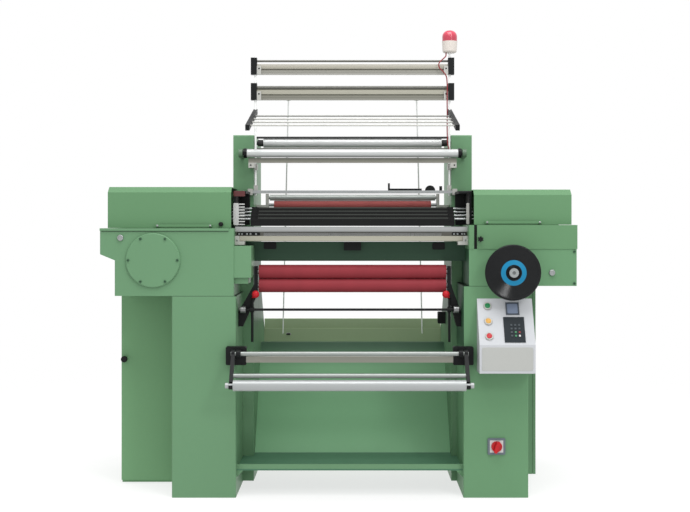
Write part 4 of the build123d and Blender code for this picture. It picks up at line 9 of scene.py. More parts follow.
import bmesh
import bpy
import numpy as np
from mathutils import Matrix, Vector


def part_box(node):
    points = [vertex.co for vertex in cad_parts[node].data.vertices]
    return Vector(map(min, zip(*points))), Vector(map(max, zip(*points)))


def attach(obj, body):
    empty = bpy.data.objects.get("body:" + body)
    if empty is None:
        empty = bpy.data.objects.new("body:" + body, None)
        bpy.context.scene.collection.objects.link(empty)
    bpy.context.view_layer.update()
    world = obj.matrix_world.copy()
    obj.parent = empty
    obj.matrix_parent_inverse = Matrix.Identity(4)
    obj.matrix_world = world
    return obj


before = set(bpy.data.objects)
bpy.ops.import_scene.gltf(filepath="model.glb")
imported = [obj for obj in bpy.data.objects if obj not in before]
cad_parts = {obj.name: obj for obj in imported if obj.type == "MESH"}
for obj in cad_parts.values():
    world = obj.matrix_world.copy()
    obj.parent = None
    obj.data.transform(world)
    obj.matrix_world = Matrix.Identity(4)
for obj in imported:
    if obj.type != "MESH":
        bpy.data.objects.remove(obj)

LOG = logging.getLogger("crochet_machine")
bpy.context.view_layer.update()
NODES: Dict[str, bpy.types.Object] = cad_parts
FRONT_LIGHT = 1.5
FACING_FRONT = np.array([[1.0, 0.0, 0.0], [0.0, 0.0, 1.0], [0.0, -1.0, 0.0]])
ALONG_X = np.array([[0.0, 1.0, 0.0], [0.0, 0.0, 1.0], [1.0, 0.0, 0.0]])

Pair = Tuple[float, float]
Triple = Tuple[float, float, float]
Names = Tuple[str, ...]
Number = Union[float, "Value"]
Paint = Union[Triple, "Value"]
Constants = Dict[str, Union[float, Triple]]


class Axis(Enum):
    """A direction of the machine: across, from front to back, and up."""

    X = 0
    Y = 1
    Z = 2


X, Y, Z = Axis


def tint(red: int, green: int, blue: int) -> Triple:
    """Turn the colour that a front face shows under the studio light into a linear base colour.

    Args:
        red: red from 0 to 255.
        green: green from 0 to 255.
        blue: blue from 0 to 255.

    Returns:
        The linear colour over the light: each share above the toe is ((c + 0.055) / 1.055) to the power 2.4.
    """
    shares = np.array([red, green, blue]) / 255
    linear = np.where(shares > 0.04045, ((shares + 0.055) / 1.055) ** 2.4, shares / 12.92)
    return tuple(float(share) for share in linear / FRONT_LIGHT)


def scaled(colour: Triple, factor: float) -> Triple:
    """Return a colour made lighter or darker by a factor."""
    return tuple(min(1.0, channel * factor) for channel in colour)


class Value:
    """A shader socket that grows Math nodes from Python expressions."""

    def __init__(self, graph: "Graph", socket: bpy.types.NodeSocket) -> None:
        """Keep the graph and the socket that this value comes from."""
        self.graph = graph
        self.socket = socket

    def _math(self, operation: str, first: Number, second: Number = 0.0) -> "Value":
        """Add one Math node on two numbers and return its result."""
        return self.graph.node("ShaderNodeMath", {"operation": operation}, {0: first, 1: second})

    def __add__(self, other: Number) -> "Value":
        """Return the sum."""
        return self._math("ADD", self, other)

    __radd__ = __add__

    def __sub__(self, other: Number) -> "Value":
        """Return this value less the other."""
        return self._math("SUBTRACT", self, other)

    def __rsub__(self, other: Number) -> "Value":
        """Return the other less this value."""
        return self._math("SUBTRACT", other, self)

    def __mul__(self, other: Number) -> "Value":
        """Return the product."""
        return self._math("MULTIPLY", self, other)

    __rmul__ = __mul__

    def __truediv__(self, other: Number) -> "Value":
        """Return this value over the other."""
        return self._math("DIVIDE", self, other)

    def __pow__(self, power: float) -> "Value":
        """Return this value to a power."""
        return self._math("POWER", self, power)

    def sine(self) -> "Value":
        """Return the sine of this value in radians."""
        return self._math("SINE", self)

    def fraction(self) -> "Value":
        """Return what this value has over its whole number."""
        return self._math("FRACT", self)

    def rise(self, low: float, high: float) -> "Value":
        """Climb smoothly from 0 at the low value to 1 at the high value.

        Args:
            low: where the result is still 0.
            high: where the result has reached 1.

        Returns:
            The smooth step between the two.
        """
        return self.graph.node(
            "ShaderNodeMapRange", {"interpolation_type": "SMOOTHSTEP", "clamp": True},
            {"Value": self, "From Min": low, "From Max": high, "To Min": 0.0, "To Max": 1.0})

    def between(self, low: float, high: float, soft: float) -> "Value":
        """Give 1 from the low value to the high one and 0 beyond them, with soft ends."""
        return self.rise(low - soft, low + soft) * (1.0 - self.rise(high - soft, high + soft))


class Surface(NamedTuple):
    """What changes over a finished surface, with its relief in metres."""

    colour: Paint
    roughness: Number
    metallic: Number
    height: Number


class Graph:
    """The node tree of one material, with one method that adds any node."""

    def __init__(self, name: str) -> None:
        """Start an empty material of that name."""
        self.material = bpy.data.materials.new(name)
        self.material.use_nodes = True
        self.tree = self.material.node_tree
        self.tree.nodes.clear()
        self.place = self.node("ShaderNodeTexCoord", output="Object")

    def node(self, kind: str, settings: Optional[dict] = None, inputs: Optional[dict] = None,
             output: Union[int, str] = 0) -> Value:
        """Add a node.

        Args:
            kind: the node's type.
            settings: its own properties, or the stops of a ramp, which are set first.
            inputs: the values or links of its sockets, by name or number.
            output: the name or number of the socket to return.

        Returns:
            The chosen output as a value.
        """
        made = self.tree.nodes.new(kind)
        for key, value in (settings or {}).items():
            if key == "stops":
                self._set_stops(made.color_ramp, value)
            else:
                setattr(made, key, value)
        for key, value in (inputs or {}).items():
            self.feed(made.inputs[key], value)
        return Value(self, made.outputs[output])

    def feed(self, socket: bpy.types.NodeSocket, value: Union[Number, Paint]) -> None:
        """Link a value to a socket, or set a constant on it."""
        if isinstance(value, Value):
            self.tree.links.new(value.socket, socket)
        elif socket.type == "RGBA":
            socket.default_value = (*value[:3], 1.0)
        else:
            socket.default_value = value

    @staticmethod
    def _set_stops(ramp: bpy.types.ColorRamp, stops: Sequence[Tuple[float, Triple]]) -> None:
        """Give a ramp its stops."""
        while len(ramp.elements) < len(stops):
            ramp.elements.new(1.0)
        for element, (position, colour) in zip(ramp.elements, stops):
            element.position = position
            element.color = (*colour, 1.0)

    def along(self, axis: Axis) -> Value:
        """Return the place along one axis, in metres."""
        return self.node("ShaderNodeSeparateXYZ", inputs={0: self.place}, output=axis.value)

    def noise(self, scale: float, detail: float = 2.0, stretch: Triple = (1.0, 1.0, 1.0)) -> Value:
        """Return soft noise from 0 to 1.

        Args:
            scale: how many cells there are in a metre.
            detail: how many finer octaves are added.
            stretch: a factor on the scale along each axis.

        Returns:
            The noise.
        """
        spread = self.node("ShaderNodeVectorMath", {"operation": "MULTIPLY"}, {0: self.place, 1: stretch})
        return self.node("ShaderNodeTexNoise", {}, {"Vector": spread, "Scale": scale, "Detail": detail})

    def blend(self, factor: Number, first: Paint, second: Paint) -> Value:
        """Mix two colours by a factor, where 1 is the second."""
        return self.node("ShaderNodeMix", {"data_type": "RGBA"}, {0: factor, 6: first, 7: second}, output=2)

    def tones(self, factor: Number, colour: Triple, dark: float, light: float) -> Value:
        """Mix a colour made darker with the same colour made lighter, by a factor."""
        return self.blend(factor, scaled(colour, dark), scaled(colour, light))

    def radius(self, axis: Axis, centre: Triple) -> Value:
        """Return the distance from a line along an axis through a centre: the root of the squares' sum."""
        total: Number = 0.0
        for other in Axis:
            if other is not axis:
                total = (self.along(other) - centre[other.value]) ** 2 + total
        return total ** 0.5

    def close(self, surface: Surface, constants: Constants) -> bpy.types.Material:
        """Feed a surface and its constants to the shader.

        Args:
            surface: what changes over the surface.
            constants: the values of sockets that are the same all over.

        Returns:
            The finished material.
        """
        inputs: Dict[str, object] = {"Base Color": surface.colour, "Roughness": surface.roughness,
                                     "Metallic": surface.metallic, **constants}
        if isinstance(surface.height, Value):
            inputs["Normal"] = self.node("ShaderNodeBump", {}, {"Strength": 1.0, "Distance": 1.0,
                                                                "Height": surface.height})
        shader = self.node("ShaderNodeBsdfPrincipled", {}, inputs)
        end = self.tree.nodes.new("ShaderNodeOutputMaterial")
        self.feed(end.inputs["Surface"], shader)
        return self.material


class Zone:
    """A region of the machine that a finish can be kept to."""

    def mask(self, graph: Graph) -> Value:
        """Return 1 inside the region and 0 outside it."""
        raise NotImplementedError


@dataclass(frozen=True)
class Span(Zone):
    """A slab between two places on one axis."""

    axis: Axis
    low: float
    high: float
    soft: float = 0.0004

    def mask(self, graph: Graph) -> Value:
        """Rise at the low place and fall at the high one."""
        return graph.along(self.axis).between(self.low, self.high, self.soft)


@dataclass(frozen=True)
class Ring(Zone):
    """A ring, or a disc where the inner radius is below zero, round a line along an axis."""

    axis: Axis
    centre: Triple
    inner: float
    outer: float
    soft: float = 0.0005

    def mask(self, graph: Graph) -> Value:
        """Rise at the inner radius and fall at the outer one."""
        return graph.radius(self.axis, self.centre).between(self.inner, self.outer, self.soft)


@dataclass(frozen=True)
class Within(Zone):
    """What lies in two regions at once."""

    first: Zone
    second: Zone

    def mask(self, graph: Graph) -> Value:
        """Return the product of the two masks."""
        return self.first.mask(graph) * self.second.mask(graph)


@dataclass(frozen=True)
class Outside(Zone):
    """What lies out of a region."""

    inner: Zone

    def mask(self, graph: Graph) -> Value:
        """Return 1 less the region's mask."""
        return 1.0 - self.inner.mask(graph)


@dataclass(frozen=True)
class Finish:
    """A finish that gives a surface and the constants of its shader."""

    colour: Triple

    def surface(self, graph: Graph) -> Surface:
        """Return what changes over the surface."""
        raise NotImplementedError

    def constants(self) -> Constants:
        """Return the sockets that are the same all over."""
        return {}

    def material(self, name: str) -> bpy.types.Material:
        """Build the material under a name."""
        graph = Graph(name)
        return graph.close(self.surface(graph), self.constants())


@dataclass(frozen=True)
class Enamel(Finish):
    """Sprayed enamel: faint clouds of tone, orange peel and a thin gloss coat."""

    roughness: float = 0.42
    clouds: float = 0.06
    peel: float = 0.000025
    coat: float = 0.05
    gloss: float = 0.16

    def surface(self, graph: Graph) -> Surface:
        """Tone varies in wide clouds, gloss in smaller ones, and the relief is fine orange peel."""
        cloud = graph.noise(3.2, 3.0)
        speck = graph.noise(70.0, 3.0)
        tone = cloud * 0.7 + speck * 0.3
        colour = graph.tones(tone, self.colour, 1.0 - self.clouds, 1.0 + self.clouds)
        roughness = graph.noise(14.0, 3.0) * 0.14 + (self.roughness - 0.07)
        height = (graph.noise(420.0, 1.0) + graph.noise(1100.0, 0.0) * 0.4) * self.peel
        return Surface(colour, roughness, 0.0, height)

    def constants(self) -> Constants:
        """A thin clear coat and the paint's own gloss."""
        return {"Coat Weight": self.coat, "Coat Roughness": 0.22, "Specular IOR Level": self.gloss}


@dataclass(frozen=True)
class GroundMetal(Finish):
    """Ground or drawn metal with fine lines along one axis."""

    lines: Axis = X
    roughness: float = 0.3
    metallic: float = 1.0
    contrast: float = 0.10

    def surface(self, graph: Graph) -> Surface:
        """Noise drawn out along the lines gives tone, gloss and the finest relief."""
        stretch = tuple(0.02 if axis is self.lines else 1.0 for axis in Axis)
        line = graph.noise(900.0, 2.0, stretch)
        smear = graph.noise(9.0, 3.0)
        tone = line * 0.6 + smear * 0.4
        colour = graph.tones(tone, self.colour, 1.0 - self.contrast, 1.0 + self.contrast)
        roughness = line * 0.12 + smear * 0.10 + (self.roughness - 0.11)
        return Surface(colour, roughness, self.metallic, line * 0.000012)


@dataclass(frozen=True)
class TurnedMetal(Finish):
    """A turned roller: faint rings round it and a soft satin gloss."""

    roughness: float = 0.34
    metallic: float = 0.55

    def surface(self, graph: Graph) -> Surface:
        """Noise that changes quickly along the roller and slowly round it gives the tool marks."""
        ring = graph.noise(700.0, 2.0, (1.0, 0.03, 0.03))
        smear = graph.noise(5.0, 2.0)
        tone = ring * 0.5 + smear * 0.5
        colour = graph.tones(tone, self.colour, 0.94, 1.04)
        roughness = ring * 0.10 + smear * 0.08 + (self.roughness - 0.09)
        return Surface(colour, roughness, self.metallic, ring * 0.000008)


@dataclass(frozen=True)
class RubberCover(Finish):
    """A rubber sleeve with a fine grain and rubbed bands."""

    roughness: float = 0.55

    def surface(self, graph: Graph) -> Surface:
        """A fine grain gives relief, and wide bands along the roller vary tone and gloss."""
        grain = graph.noise(1600.0, 2.0)
        band = graph.noise(16.0, 3.0, (1.0, 0.2, 0.2))
        tone = grain * 0.45 + band * 0.55
        colour = graph.tones(tone, self.colour, 0.78, 1.22)
        roughness = band * 0.16 + grain * 0.08 + (self.roughness - 0.12)
        return Surface(colour, roughness, 0.0, grain * 0.00006)

    def constants(self) -> Constants:
        """Rubber hardly shines."""
        return {"Specular IOR Level": 0.12}


@dataclass(frozen=True)
class Moulded(Finish):
    """Moulded plastic with a fine spark-eroded grain."""

    roughness: float = 0.35
    grain: float = 0.00002
    coat: float = 0.0
    gloss: float = 0.3

    def surface(self, graph: Graph) -> Surface:
        """Fine noise gives relief, and a wider one varies tone and gloss a little."""
        fine = graph.noise(1300.0, 2.0)
        wide = graph.noise(30.0, 2.0)
        colour = graph.tones(wide * 0.7 + fine * 0.3, self.colour, 0.9, 1.1)
        return Surface(colour, wide * 0.12 + (self.roughness - 0.06), 0.0, fine * self.grain)

    def constants(self) -> Constants:
        """A coat where the piece is polished, and the plastic's own gloss."""
        return {"Coat Weight": self.coat, "Coat Roughness": 0.08, "Specular IOR Level": self.gloss}


@dataclass(frozen=True)
class TurnedBlack(Finish):
    """Polished black plastic with turned grooves round a line along Y."""

    centre: Triple = (0.0, 0.0, 0.0)
    roughness: float = 0.2
    pitch: float = 0.0016
    slope: float = 0.61

    def surface(self, graph: Graph) -> Surface:
        """The relief is a saw tooth, the fraction of the radius over the pitch, and gloss follows it."""
        radius = graph.radius(Y, self.centre)
        groove = (radius / self.pitch).fraction()
        wide = graph.noise(24.0, 3.0)
        colour = graph.tones(wide, self.colour, 0.8, 1.3)
        return Surface(colour, wide * 0.10 + groove * 0.06 + (self.roughness - 0.08), 0.0,
                       groove * (self.pitch * self.slope))

    def constants(self) -> Constants:
        """Less gloss than clear plastic, so that black stays black in a white room."""
        return {"Specular IOR Level": 0.22}


@dataclass(frozen=True)
class Lens(Finish):
    """A coloured lens: glossy, with a painted highlight that makes it paler towards its top."""

    low: float = 0.0
    high: float = 1.0

    def surface(self, graph: Graph) -> Surface:
        """Tone rises with height as a painted highlight, and faint moulded rings give relief."""
        height = graph.along(Z)
        share = height.rise(self.low, self.high)
        ring = (height * (2 * math.pi / 0.004)).sine()
        colour = graph.tones(share, self.colour, 0.85, 1.2)
        return Surface(colour, graph.noise(40.0) * 0.08 + 0.12, 0.0, ring * 0.00012)

    def constants(self) -> Constants:
        """A glossy coat and a little glow."""
        return {"Coat Weight": 0.4, "Coat Roughness": 0.05, "Emission Color": self.colour,
                "Emission Strength": 0.12}


@dataclass(frozen=True)
class Zoned(Finish):
    """One finish with others laid over it in their own regions."""

    base: Optional[Finish] = None
    over: Tuple[Tuple[Zone, Finish], ...] = ()

    def surface(self, graph: Graph) -> Surface:
        """Mix each laid-over surface in by its region's mask."""
        result = self.base.surface(graph)
        for zone, finish in self.over:
            mask = zone.mask(graph)
            top = finish.surface(graph)
            result = Surface(
                graph.blend(mask, result.colour, top.colour),
                lerp(mask, result.roughness, top.roughness),
                lerp(mask, result.metallic, top.metallic),
                lerp(mask, result.height, top.height))
        return result

    def constants(self) -> Constants:
        """The base finish's constants hold all over."""
        return self.base.constants()


def zoned(base: Finish, *over: Tuple[Zone, Finish]) -> Zoned:
    """Lay finishes over a base, each in its own region."""
    return Zoned(base.colour, base, tuple(over))


def lerp(mask: Value, first: Number, second: Number) -> Number:
    """Go from the first number to the second as the mask goes from 0 to 1."""
    if not isinstance(first, Value) and not isinstance(second, Value) and first == second:
        return first
    return mask * second + (1.0 - mask) * first


@dataclass(frozen=True)
class PaintedSheenBands(Finish):
    """Drawn metal with bands of tone along one axis: painted highlights and reflections, with dark lines
    among them.
    """

    axis: Axis = Z
    low: float = 0.0
    high: float = 1.0
    bands: Tuple[Tuple[float, int, int, int], ...] = ()
    roughness: float = 0.4
    metallic: float = 0.3

    def surface(self, graph: Graph) -> Surface:
        """A ramp over the share from low to high gives the painted highlight and reflection bands, and
        drawn-out noise the lines in it.
        """
        share = (graph.along(self.axis) - self.low) / (self.high - self.low)
        stops = [(place, tint(*colour)) for place, *colour in self.bands]
        ramp = graph.node("ShaderNodeValToRGB", {"stops": stops}, {0: share})
        line = graph.noise(900.0, 2.0, (0.02, 1.0, 1.0))
        smear = graph.noise(7.0, 3.0)
        colour = graph.blend(line * 0.14 + smear * 0.08, ramp, (0.0, 0.0, 0.0))
        roughness = line * 0.12 + smear * 0.1 + (self.roughness - 0.11)
        return Surface(colour, roughness, self.metallic, line * 0.000012)


@dataclass(frozen=True)
class Ground(Finish):
    """A pale lit floor that fades out away from the machine."""

    near: float = 1.5
    far: float = 3.6
    glow: float = 0.7

    def surface(self, graph: Graph) -> Surface:
        """Faint clouds of tone, and no relief."""
        cloud = graph.noise(1.4, 2.0)
        return Surface(graph.tones(cloud, self.colour, 0.99, 1.0), 0.9, 0.0, 0.0)

    def material(self, name: str) -> bpy.types.Material:
        """Build the material, whose alpha falls from 1 to 0 with the distance from the middle."""
        graph = Graph(name)
        fade = 1.0 - graph.radius(Z, (0.0, 0.0, 0.0)).rise(self.near, self.far)
        light = {"Emission Color": (1.0, 1.0, 1.0), "Emission Strength": self.glow}
        return graph.close(self.surface(graph), {"Specular IOR Level": 0.0, "Alpha": fade, **light})


class Paints:
    """The machine's finishes by name, in the colours that they show under the studio light; some copies of
    the green paint light or shade.
    """

    green = Enamel(tint(118, 163, 123))
    # A darker copy of the green: painted shade on the upper covers and the head band, which catch the top
    # light.
    green_upper_painted_shade = Enamel(tint(112, 158, 115))
    green_matt = Enamel(tint(120, 166, 125), coat=0.0, gloss=0.03)
    # A darker copy of the green: painted shade on the let-off arms.
    green_arm_painted_shade = Enamel(tint(92, 122, 95))
    # A darker green: painted shade on the side frames' inner faces; also the colour of the cover bolts.
    green_dark = Enamel(tint(70, 106, 80), roughness=0.45)
    # A dark green for the bed beam: painted shade under the bed.
    green_beam_painted_shade = Enamel(tint(60, 92, 72), roughness=0.5)
    # A lighter copy of the green: painted light inside the chute tray, which lies deep in the machine.
    green_inside_painted_light = Enamel(tint(137, 194, 146), roughness=0.5)
    # A deep green for painted shade: the inner faces of the right column and head box, and the top of the
    # chute.
    green_deep_painted_shade = Enamel(tint(62, 100, 74), roughness=0.5)
    # A darker green for the chute tray's floor: painted shade at the bottom of the tray.
    green_low_painted_shade = Enamel(tint(88, 136, 106), roughness=0.5)
    # A lighter copy of the green: painted light on the left cabinet and its door, set back under the gear
    # box.
    green_set_back_painted_light = Enamel(tint(130, 180, 132))
    # A pale olive on the chute tray's rear tie: painted warm light reflected onto it.
    olive_painted_light = Enamel(tint(182, 204, 164), roughness=0.5)
    seam = Enamel(tint(40, 56, 44), roughness=0.5)
    black = Enamel(tint(26, 28, 29), roughness=0.45, clouds=0.25, coat=0.0, gloss=0.16)
    bar_black = Enamel(tint(18, 19, 19), roughness=0.32, clouds=0.3, coat=0.0, gloss=0.22)
    # A lighter grey for the weft bars' top edges: a painted highlight.
    bar_edge_painted_highlight = Enamel(tint(70, 74, 70), roughness=0.35, clouds=0.3, coat=0.0, gloss=0.3)
    beige = Enamel(tint(186, 184, 168), roughness=0.45, clouds=0.05)
    white_plate = Enamel(tint(226, 227, 225), roughness=0.4, clouds=0.04)
    pale_pole = GroundMetal((0.86, 0.87, 0.86), Z, 0.4, 0.1, 0.04)
    console = Enamel(tint(216, 219, 223), roughness=0.42, clouds=0.03)
    console_front = Enamel(tint(200, 202, 198), roughness=0.45, clouds=0.06)
    floor = Ground((0.3, 0.3, 0.3))
    bright = GroundMetal(tint(190, 194, 194), X, 0.28, 0.8)
    bright_upright = GroundMetal(tint(200, 202, 202), Z, 0.3, 0.6)
    grey_rod = GroundMetal(tint(150, 151, 146), X, 0.34, 0.6)
    pale_rod = GroundMetal(tint(206, 206, 200), X, 0.36, 0.4)
    dark_rod = GroundMetal(tint(112, 112, 106), X, 0.4, 0.5)
    steel = GroundMetal(tint(164, 166, 166), X, 0.32, 0.8)
    alloy_bar = GroundMetal(tint(170, 170, 158), X, 0.42, 0.35, 0.06)
    alloy_block = GroundMetal(tint(204, 204, 198), Z, 0.4, 0.35, 0.05)
    roller = TurnedMetal(tint(224, 227, 226), metallic=0.3)
    winding = TurnedMetal(tint(192, 196, 196), metallic=0.3)
    tube = TurnedMetal(tint(178, 184, 180), metallic=0.5)
    red_rubber = RubberCover(tint(158, 60, 68))
    pull_rubber = RubberCover(tint(176, 92, 90))
    dark_rubber = RubberCover(tint(36, 36, 37), 0.62)
    black_plastic = Moulded(tint(22, 23, 24), 0.32, gloss=0.16)
    red_plastic = Moulded(tint(206, 38, 48), 0.28, coat=0.2)
    switch_red = Moulded(tint(206, 18, 24), 0.3, coat=0.1)
    dull_red = Moulded(tint(150, 46, 52), 0.4)
    green_plastic = Moulded(tint(48, 142, 88), 0.28, coat=0.3)
    yellow_plastic = Moulded(tint(228, 168, 46), 0.28, coat=0.3)
    white_plastic = Moulded(tint(226, 226, 224), 0.38)
    switch_grey = Moulded(tint(112, 124, 132), 0.42)
    keypad = Moulded(tint(30, 40, 46), 0.4, gloss=0.16)
    key = Moulded(tint(70, 80, 86), 0.45)
    screen = Moulded(tint(146, 160, 184), 0.14, coat=0.5)
    screen_frame = Moulded(tint(92, 100, 110), 0.4)
    blue_plastic = Moulded(tint(22, 138, 184), 0.3)
    cream = Moulded(tint(236, 228, 220), 0.4)
    cast = Enamel(tint(120, 126, 124), roughness=0.6, clouds=0.12, peel=0.00012, coat=0.0)
    window_red = Moulded(tint(104, 46, 46), 0.2, coat=0.3)


def middle(node: str) -> np.ndarray:
    """Return the middle of a node's box."""
    low, high = (np.array(corner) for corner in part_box(node))
    return (low + high) / 2


def centre_line() -> float:
    """Return where the machine's middle lies across."""
    return float(middle("feed_roller")[0])


def about(place: float, half: float) -> Span:
    """Return the slab that reaches half a width to both sides of a place across."""
    return Span(X, place - half, place + half)


def paint(node: str, finish: Finish, *over: Tuple[Zone, Finish]) -> None:
    """Give a node its finish.

    Args:
        node: the node's name.
        finish: the finish for all of it.
        over: finishes laid over it, each in its region.
    """
    slots = NODES[node].data.materials
    slots.clear()
    whole = zoned(finish, *over) if over else finish
    slots.append(whole.material(f"{node}_finish"))
    LOG.info("dressed %s", node)


def lattice(rows: int, columns: int) -> np.ndarray:
    """Join a grid of points, closed along its second parameter, into quads.

    Args:
        rows: points along the first parameter.
        columns: points along the second parameter.

    Returns:
        Four point numbers for each quad.
    """
    row, column = np.meshgrid(np.arange(rows - 1) * columns, np.arange(columns), indexing="ij")
    after = (column + 1) % columns
    corners = [row + column, row + after, row + columns + after, row + columns + column]
    return np.stack(corners, axis=-1).reshape(-1, 4)


@dataclass
class Shape:
    """The points and quads of one mesh."""

    points: np.ndarray
    quads: np.ndarray

    def at(self, places: Sequence[Sequence[float]], turn: Optional[np.ndarray] = None) -> "Shape":
        """Repeat the shape at places.

        Args:
            places: where each copy goes.
            turn: the directions of the shape's own x, y and z, or none to keep them.

        Returns:
            All copies as one shape: each point, turned, plus each place.
        """
        spots = np.asarray(places, dtype=float).reshape(-1, 1, 3)
        turned = self.points if turn is None else self.points @ turn
        steps = np.arange(len(spots)).reshape(-1, 1, 1) * len(turned)
        return Shape((turned[None] + spots).reshape(-1, 3), (self.quads[None] + steps).reshape(-1, 4))

    def piece(self, name: str, body: str, finish: Finish) -> None:
        """Make the mesh, close its seams and poles, dress it and let it ride on a body.

        Args:
            name: the piece's name.
            body: the body that it rides on.
            finish: its finish.
        """
        mesh = bpy.data.meshes.new(name)
        mesh.from_pydata(self.points.tolist(), [], self.quads.tolist())
        work = bmesh.new()
        work.from_mesh(mesh)
        bmesh.ops.remove_doubles(work, verts=work.verts, dist=2e-6)
        bmesh.ops.recalc_face_normals(work, faces=work.faces)
        work.to_mesh(mesh)
        work.free()
        mesh.shade_smooth()
        mesh.set_sharp_from_angle(angle=math.radians(35.0))
        mesh.materials.append(finish.material(f"{name}_finish"))
        item = bpy.data.objects.new(name, mesh)
        bpy.context.scene.collection.objects.link(item)
        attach(item, body)
        LOG.info("built %s with %d faces", name, len(mesh.polygons))

    def on_front(self, name: str, places: Sequence[Triple], finish: Finish, body: str = "frame") -> None:
        """Make one piece of copies that face the front."""
        self.at(places, FACING_FRONT).piece(name, body, finish)


def turned_shape(profile: Sequence[Pair], steps: int = 32) -> Shape:
    """Turn a profile round z: the point (r, h) at the angle a goes to (r cos a, r sin a, h).

    Args:
        profile: radius and height of each point.
        steps: points round the axis.

    Returns:
        The turned surface.
    """
    radius, height = (column[:, None] for column in np.asarray(profile, dtype=float).T)
    angle = np.linspace(0.0, 2 * np.pi, steps, endpoint=False)[None]
    points = np.stack([radius * np.cos(angle), radius * np.sin(angle), height + 0 * angle], axis=-1)
    return Shape(points.reshape(-1, 3), lattice(len(points), steps))


def plate(width: float, height: float, thickness: float, corner: float = 9.0, edge: float = 0.0006) -> Shape:
    """A plate with rounded corners and edges, standing on z = 0.

    Its outline has the power p of the corner: at the angle a it is half the width times
    cos a over the root of |cos a|^p + |sin a|^p, and the like for the height, which squares the circle.
    Rings of it stand at the foot, below the top edge and, drawn in, at the top.

    Args:
        width: its size along x.
        height: its size along y.
        thickness: its size along z.
        corner: the power of the outline, where more is squarer.
        edge: how far the top ring is drawn in.

    Returns:
        The plate.
    """
    angle = np.linspace(0.0, 2 * np.pi, 64, endpoint=False)
    square = (np.abs(np.cos(angle)) ** corner + np.abs(np.sin(angle)) ** corner) ** (-1 / corner)
    outline = np.stack([np.cos(angle), np.sin(angle)], axis=-1) * square[:, None]
    half = np.array([width, height]) / 2
    inset = np.array([half.min(), 0.0, 0.0, edge, half.min()])
    level = np.array([0.0, 0.0, thickness - edge, thickness, thickness])
    scale = 1.0 - inset[:, None] / half[None]
    scale[[0, -1]] = 0.0
    flat = outline[None] * (scale * half)[:, None]
    points = np.concatenate([flat, np.broadcast_to(level[:, None, None], flat.shape[:2] + (1,))], axis=-1)
    return Shape(points.reshape(-1, 3), lattice(len(level), len(angle)))


def screw(radius: float, height: float) -> Shape:
    """A slotted screw head: a dome whose height is the root of 1 - (r / R)^2, cut where |x| is small.

    Args:
        radius: the head's radius R.
        height: the head's height.

    Returns:
        The head, standing on z = 0.
    """
    share = np.linspace(0.0, 1.0, 16)[:, None]
    angle = np.linspace(0.0, 2 * np.pi, 40, endpoint=False)[None]
    across, along = radius * share * np.cos(angle), radius * share * np.sin(angle)
    dome = height * (0.35 + 0.65 * np.sqrt(np.clip(1.0 - share ** 2, 0.0, 1.0))) + 0 * angle
    dome = np.where(np.abs(across) < 0.16 * radius, dome - 0.45 * height, dome)
    rim = np.stack([across[-1], along[-1], 0 * across[-1]], axis=-1)[None]
    points = np.concatenate([np.stack([across, along, dome], axis=-1), rim, rim * 0.0])
    return Shape(points.reshape(-1, 3), lattice(len(points), angle.size))


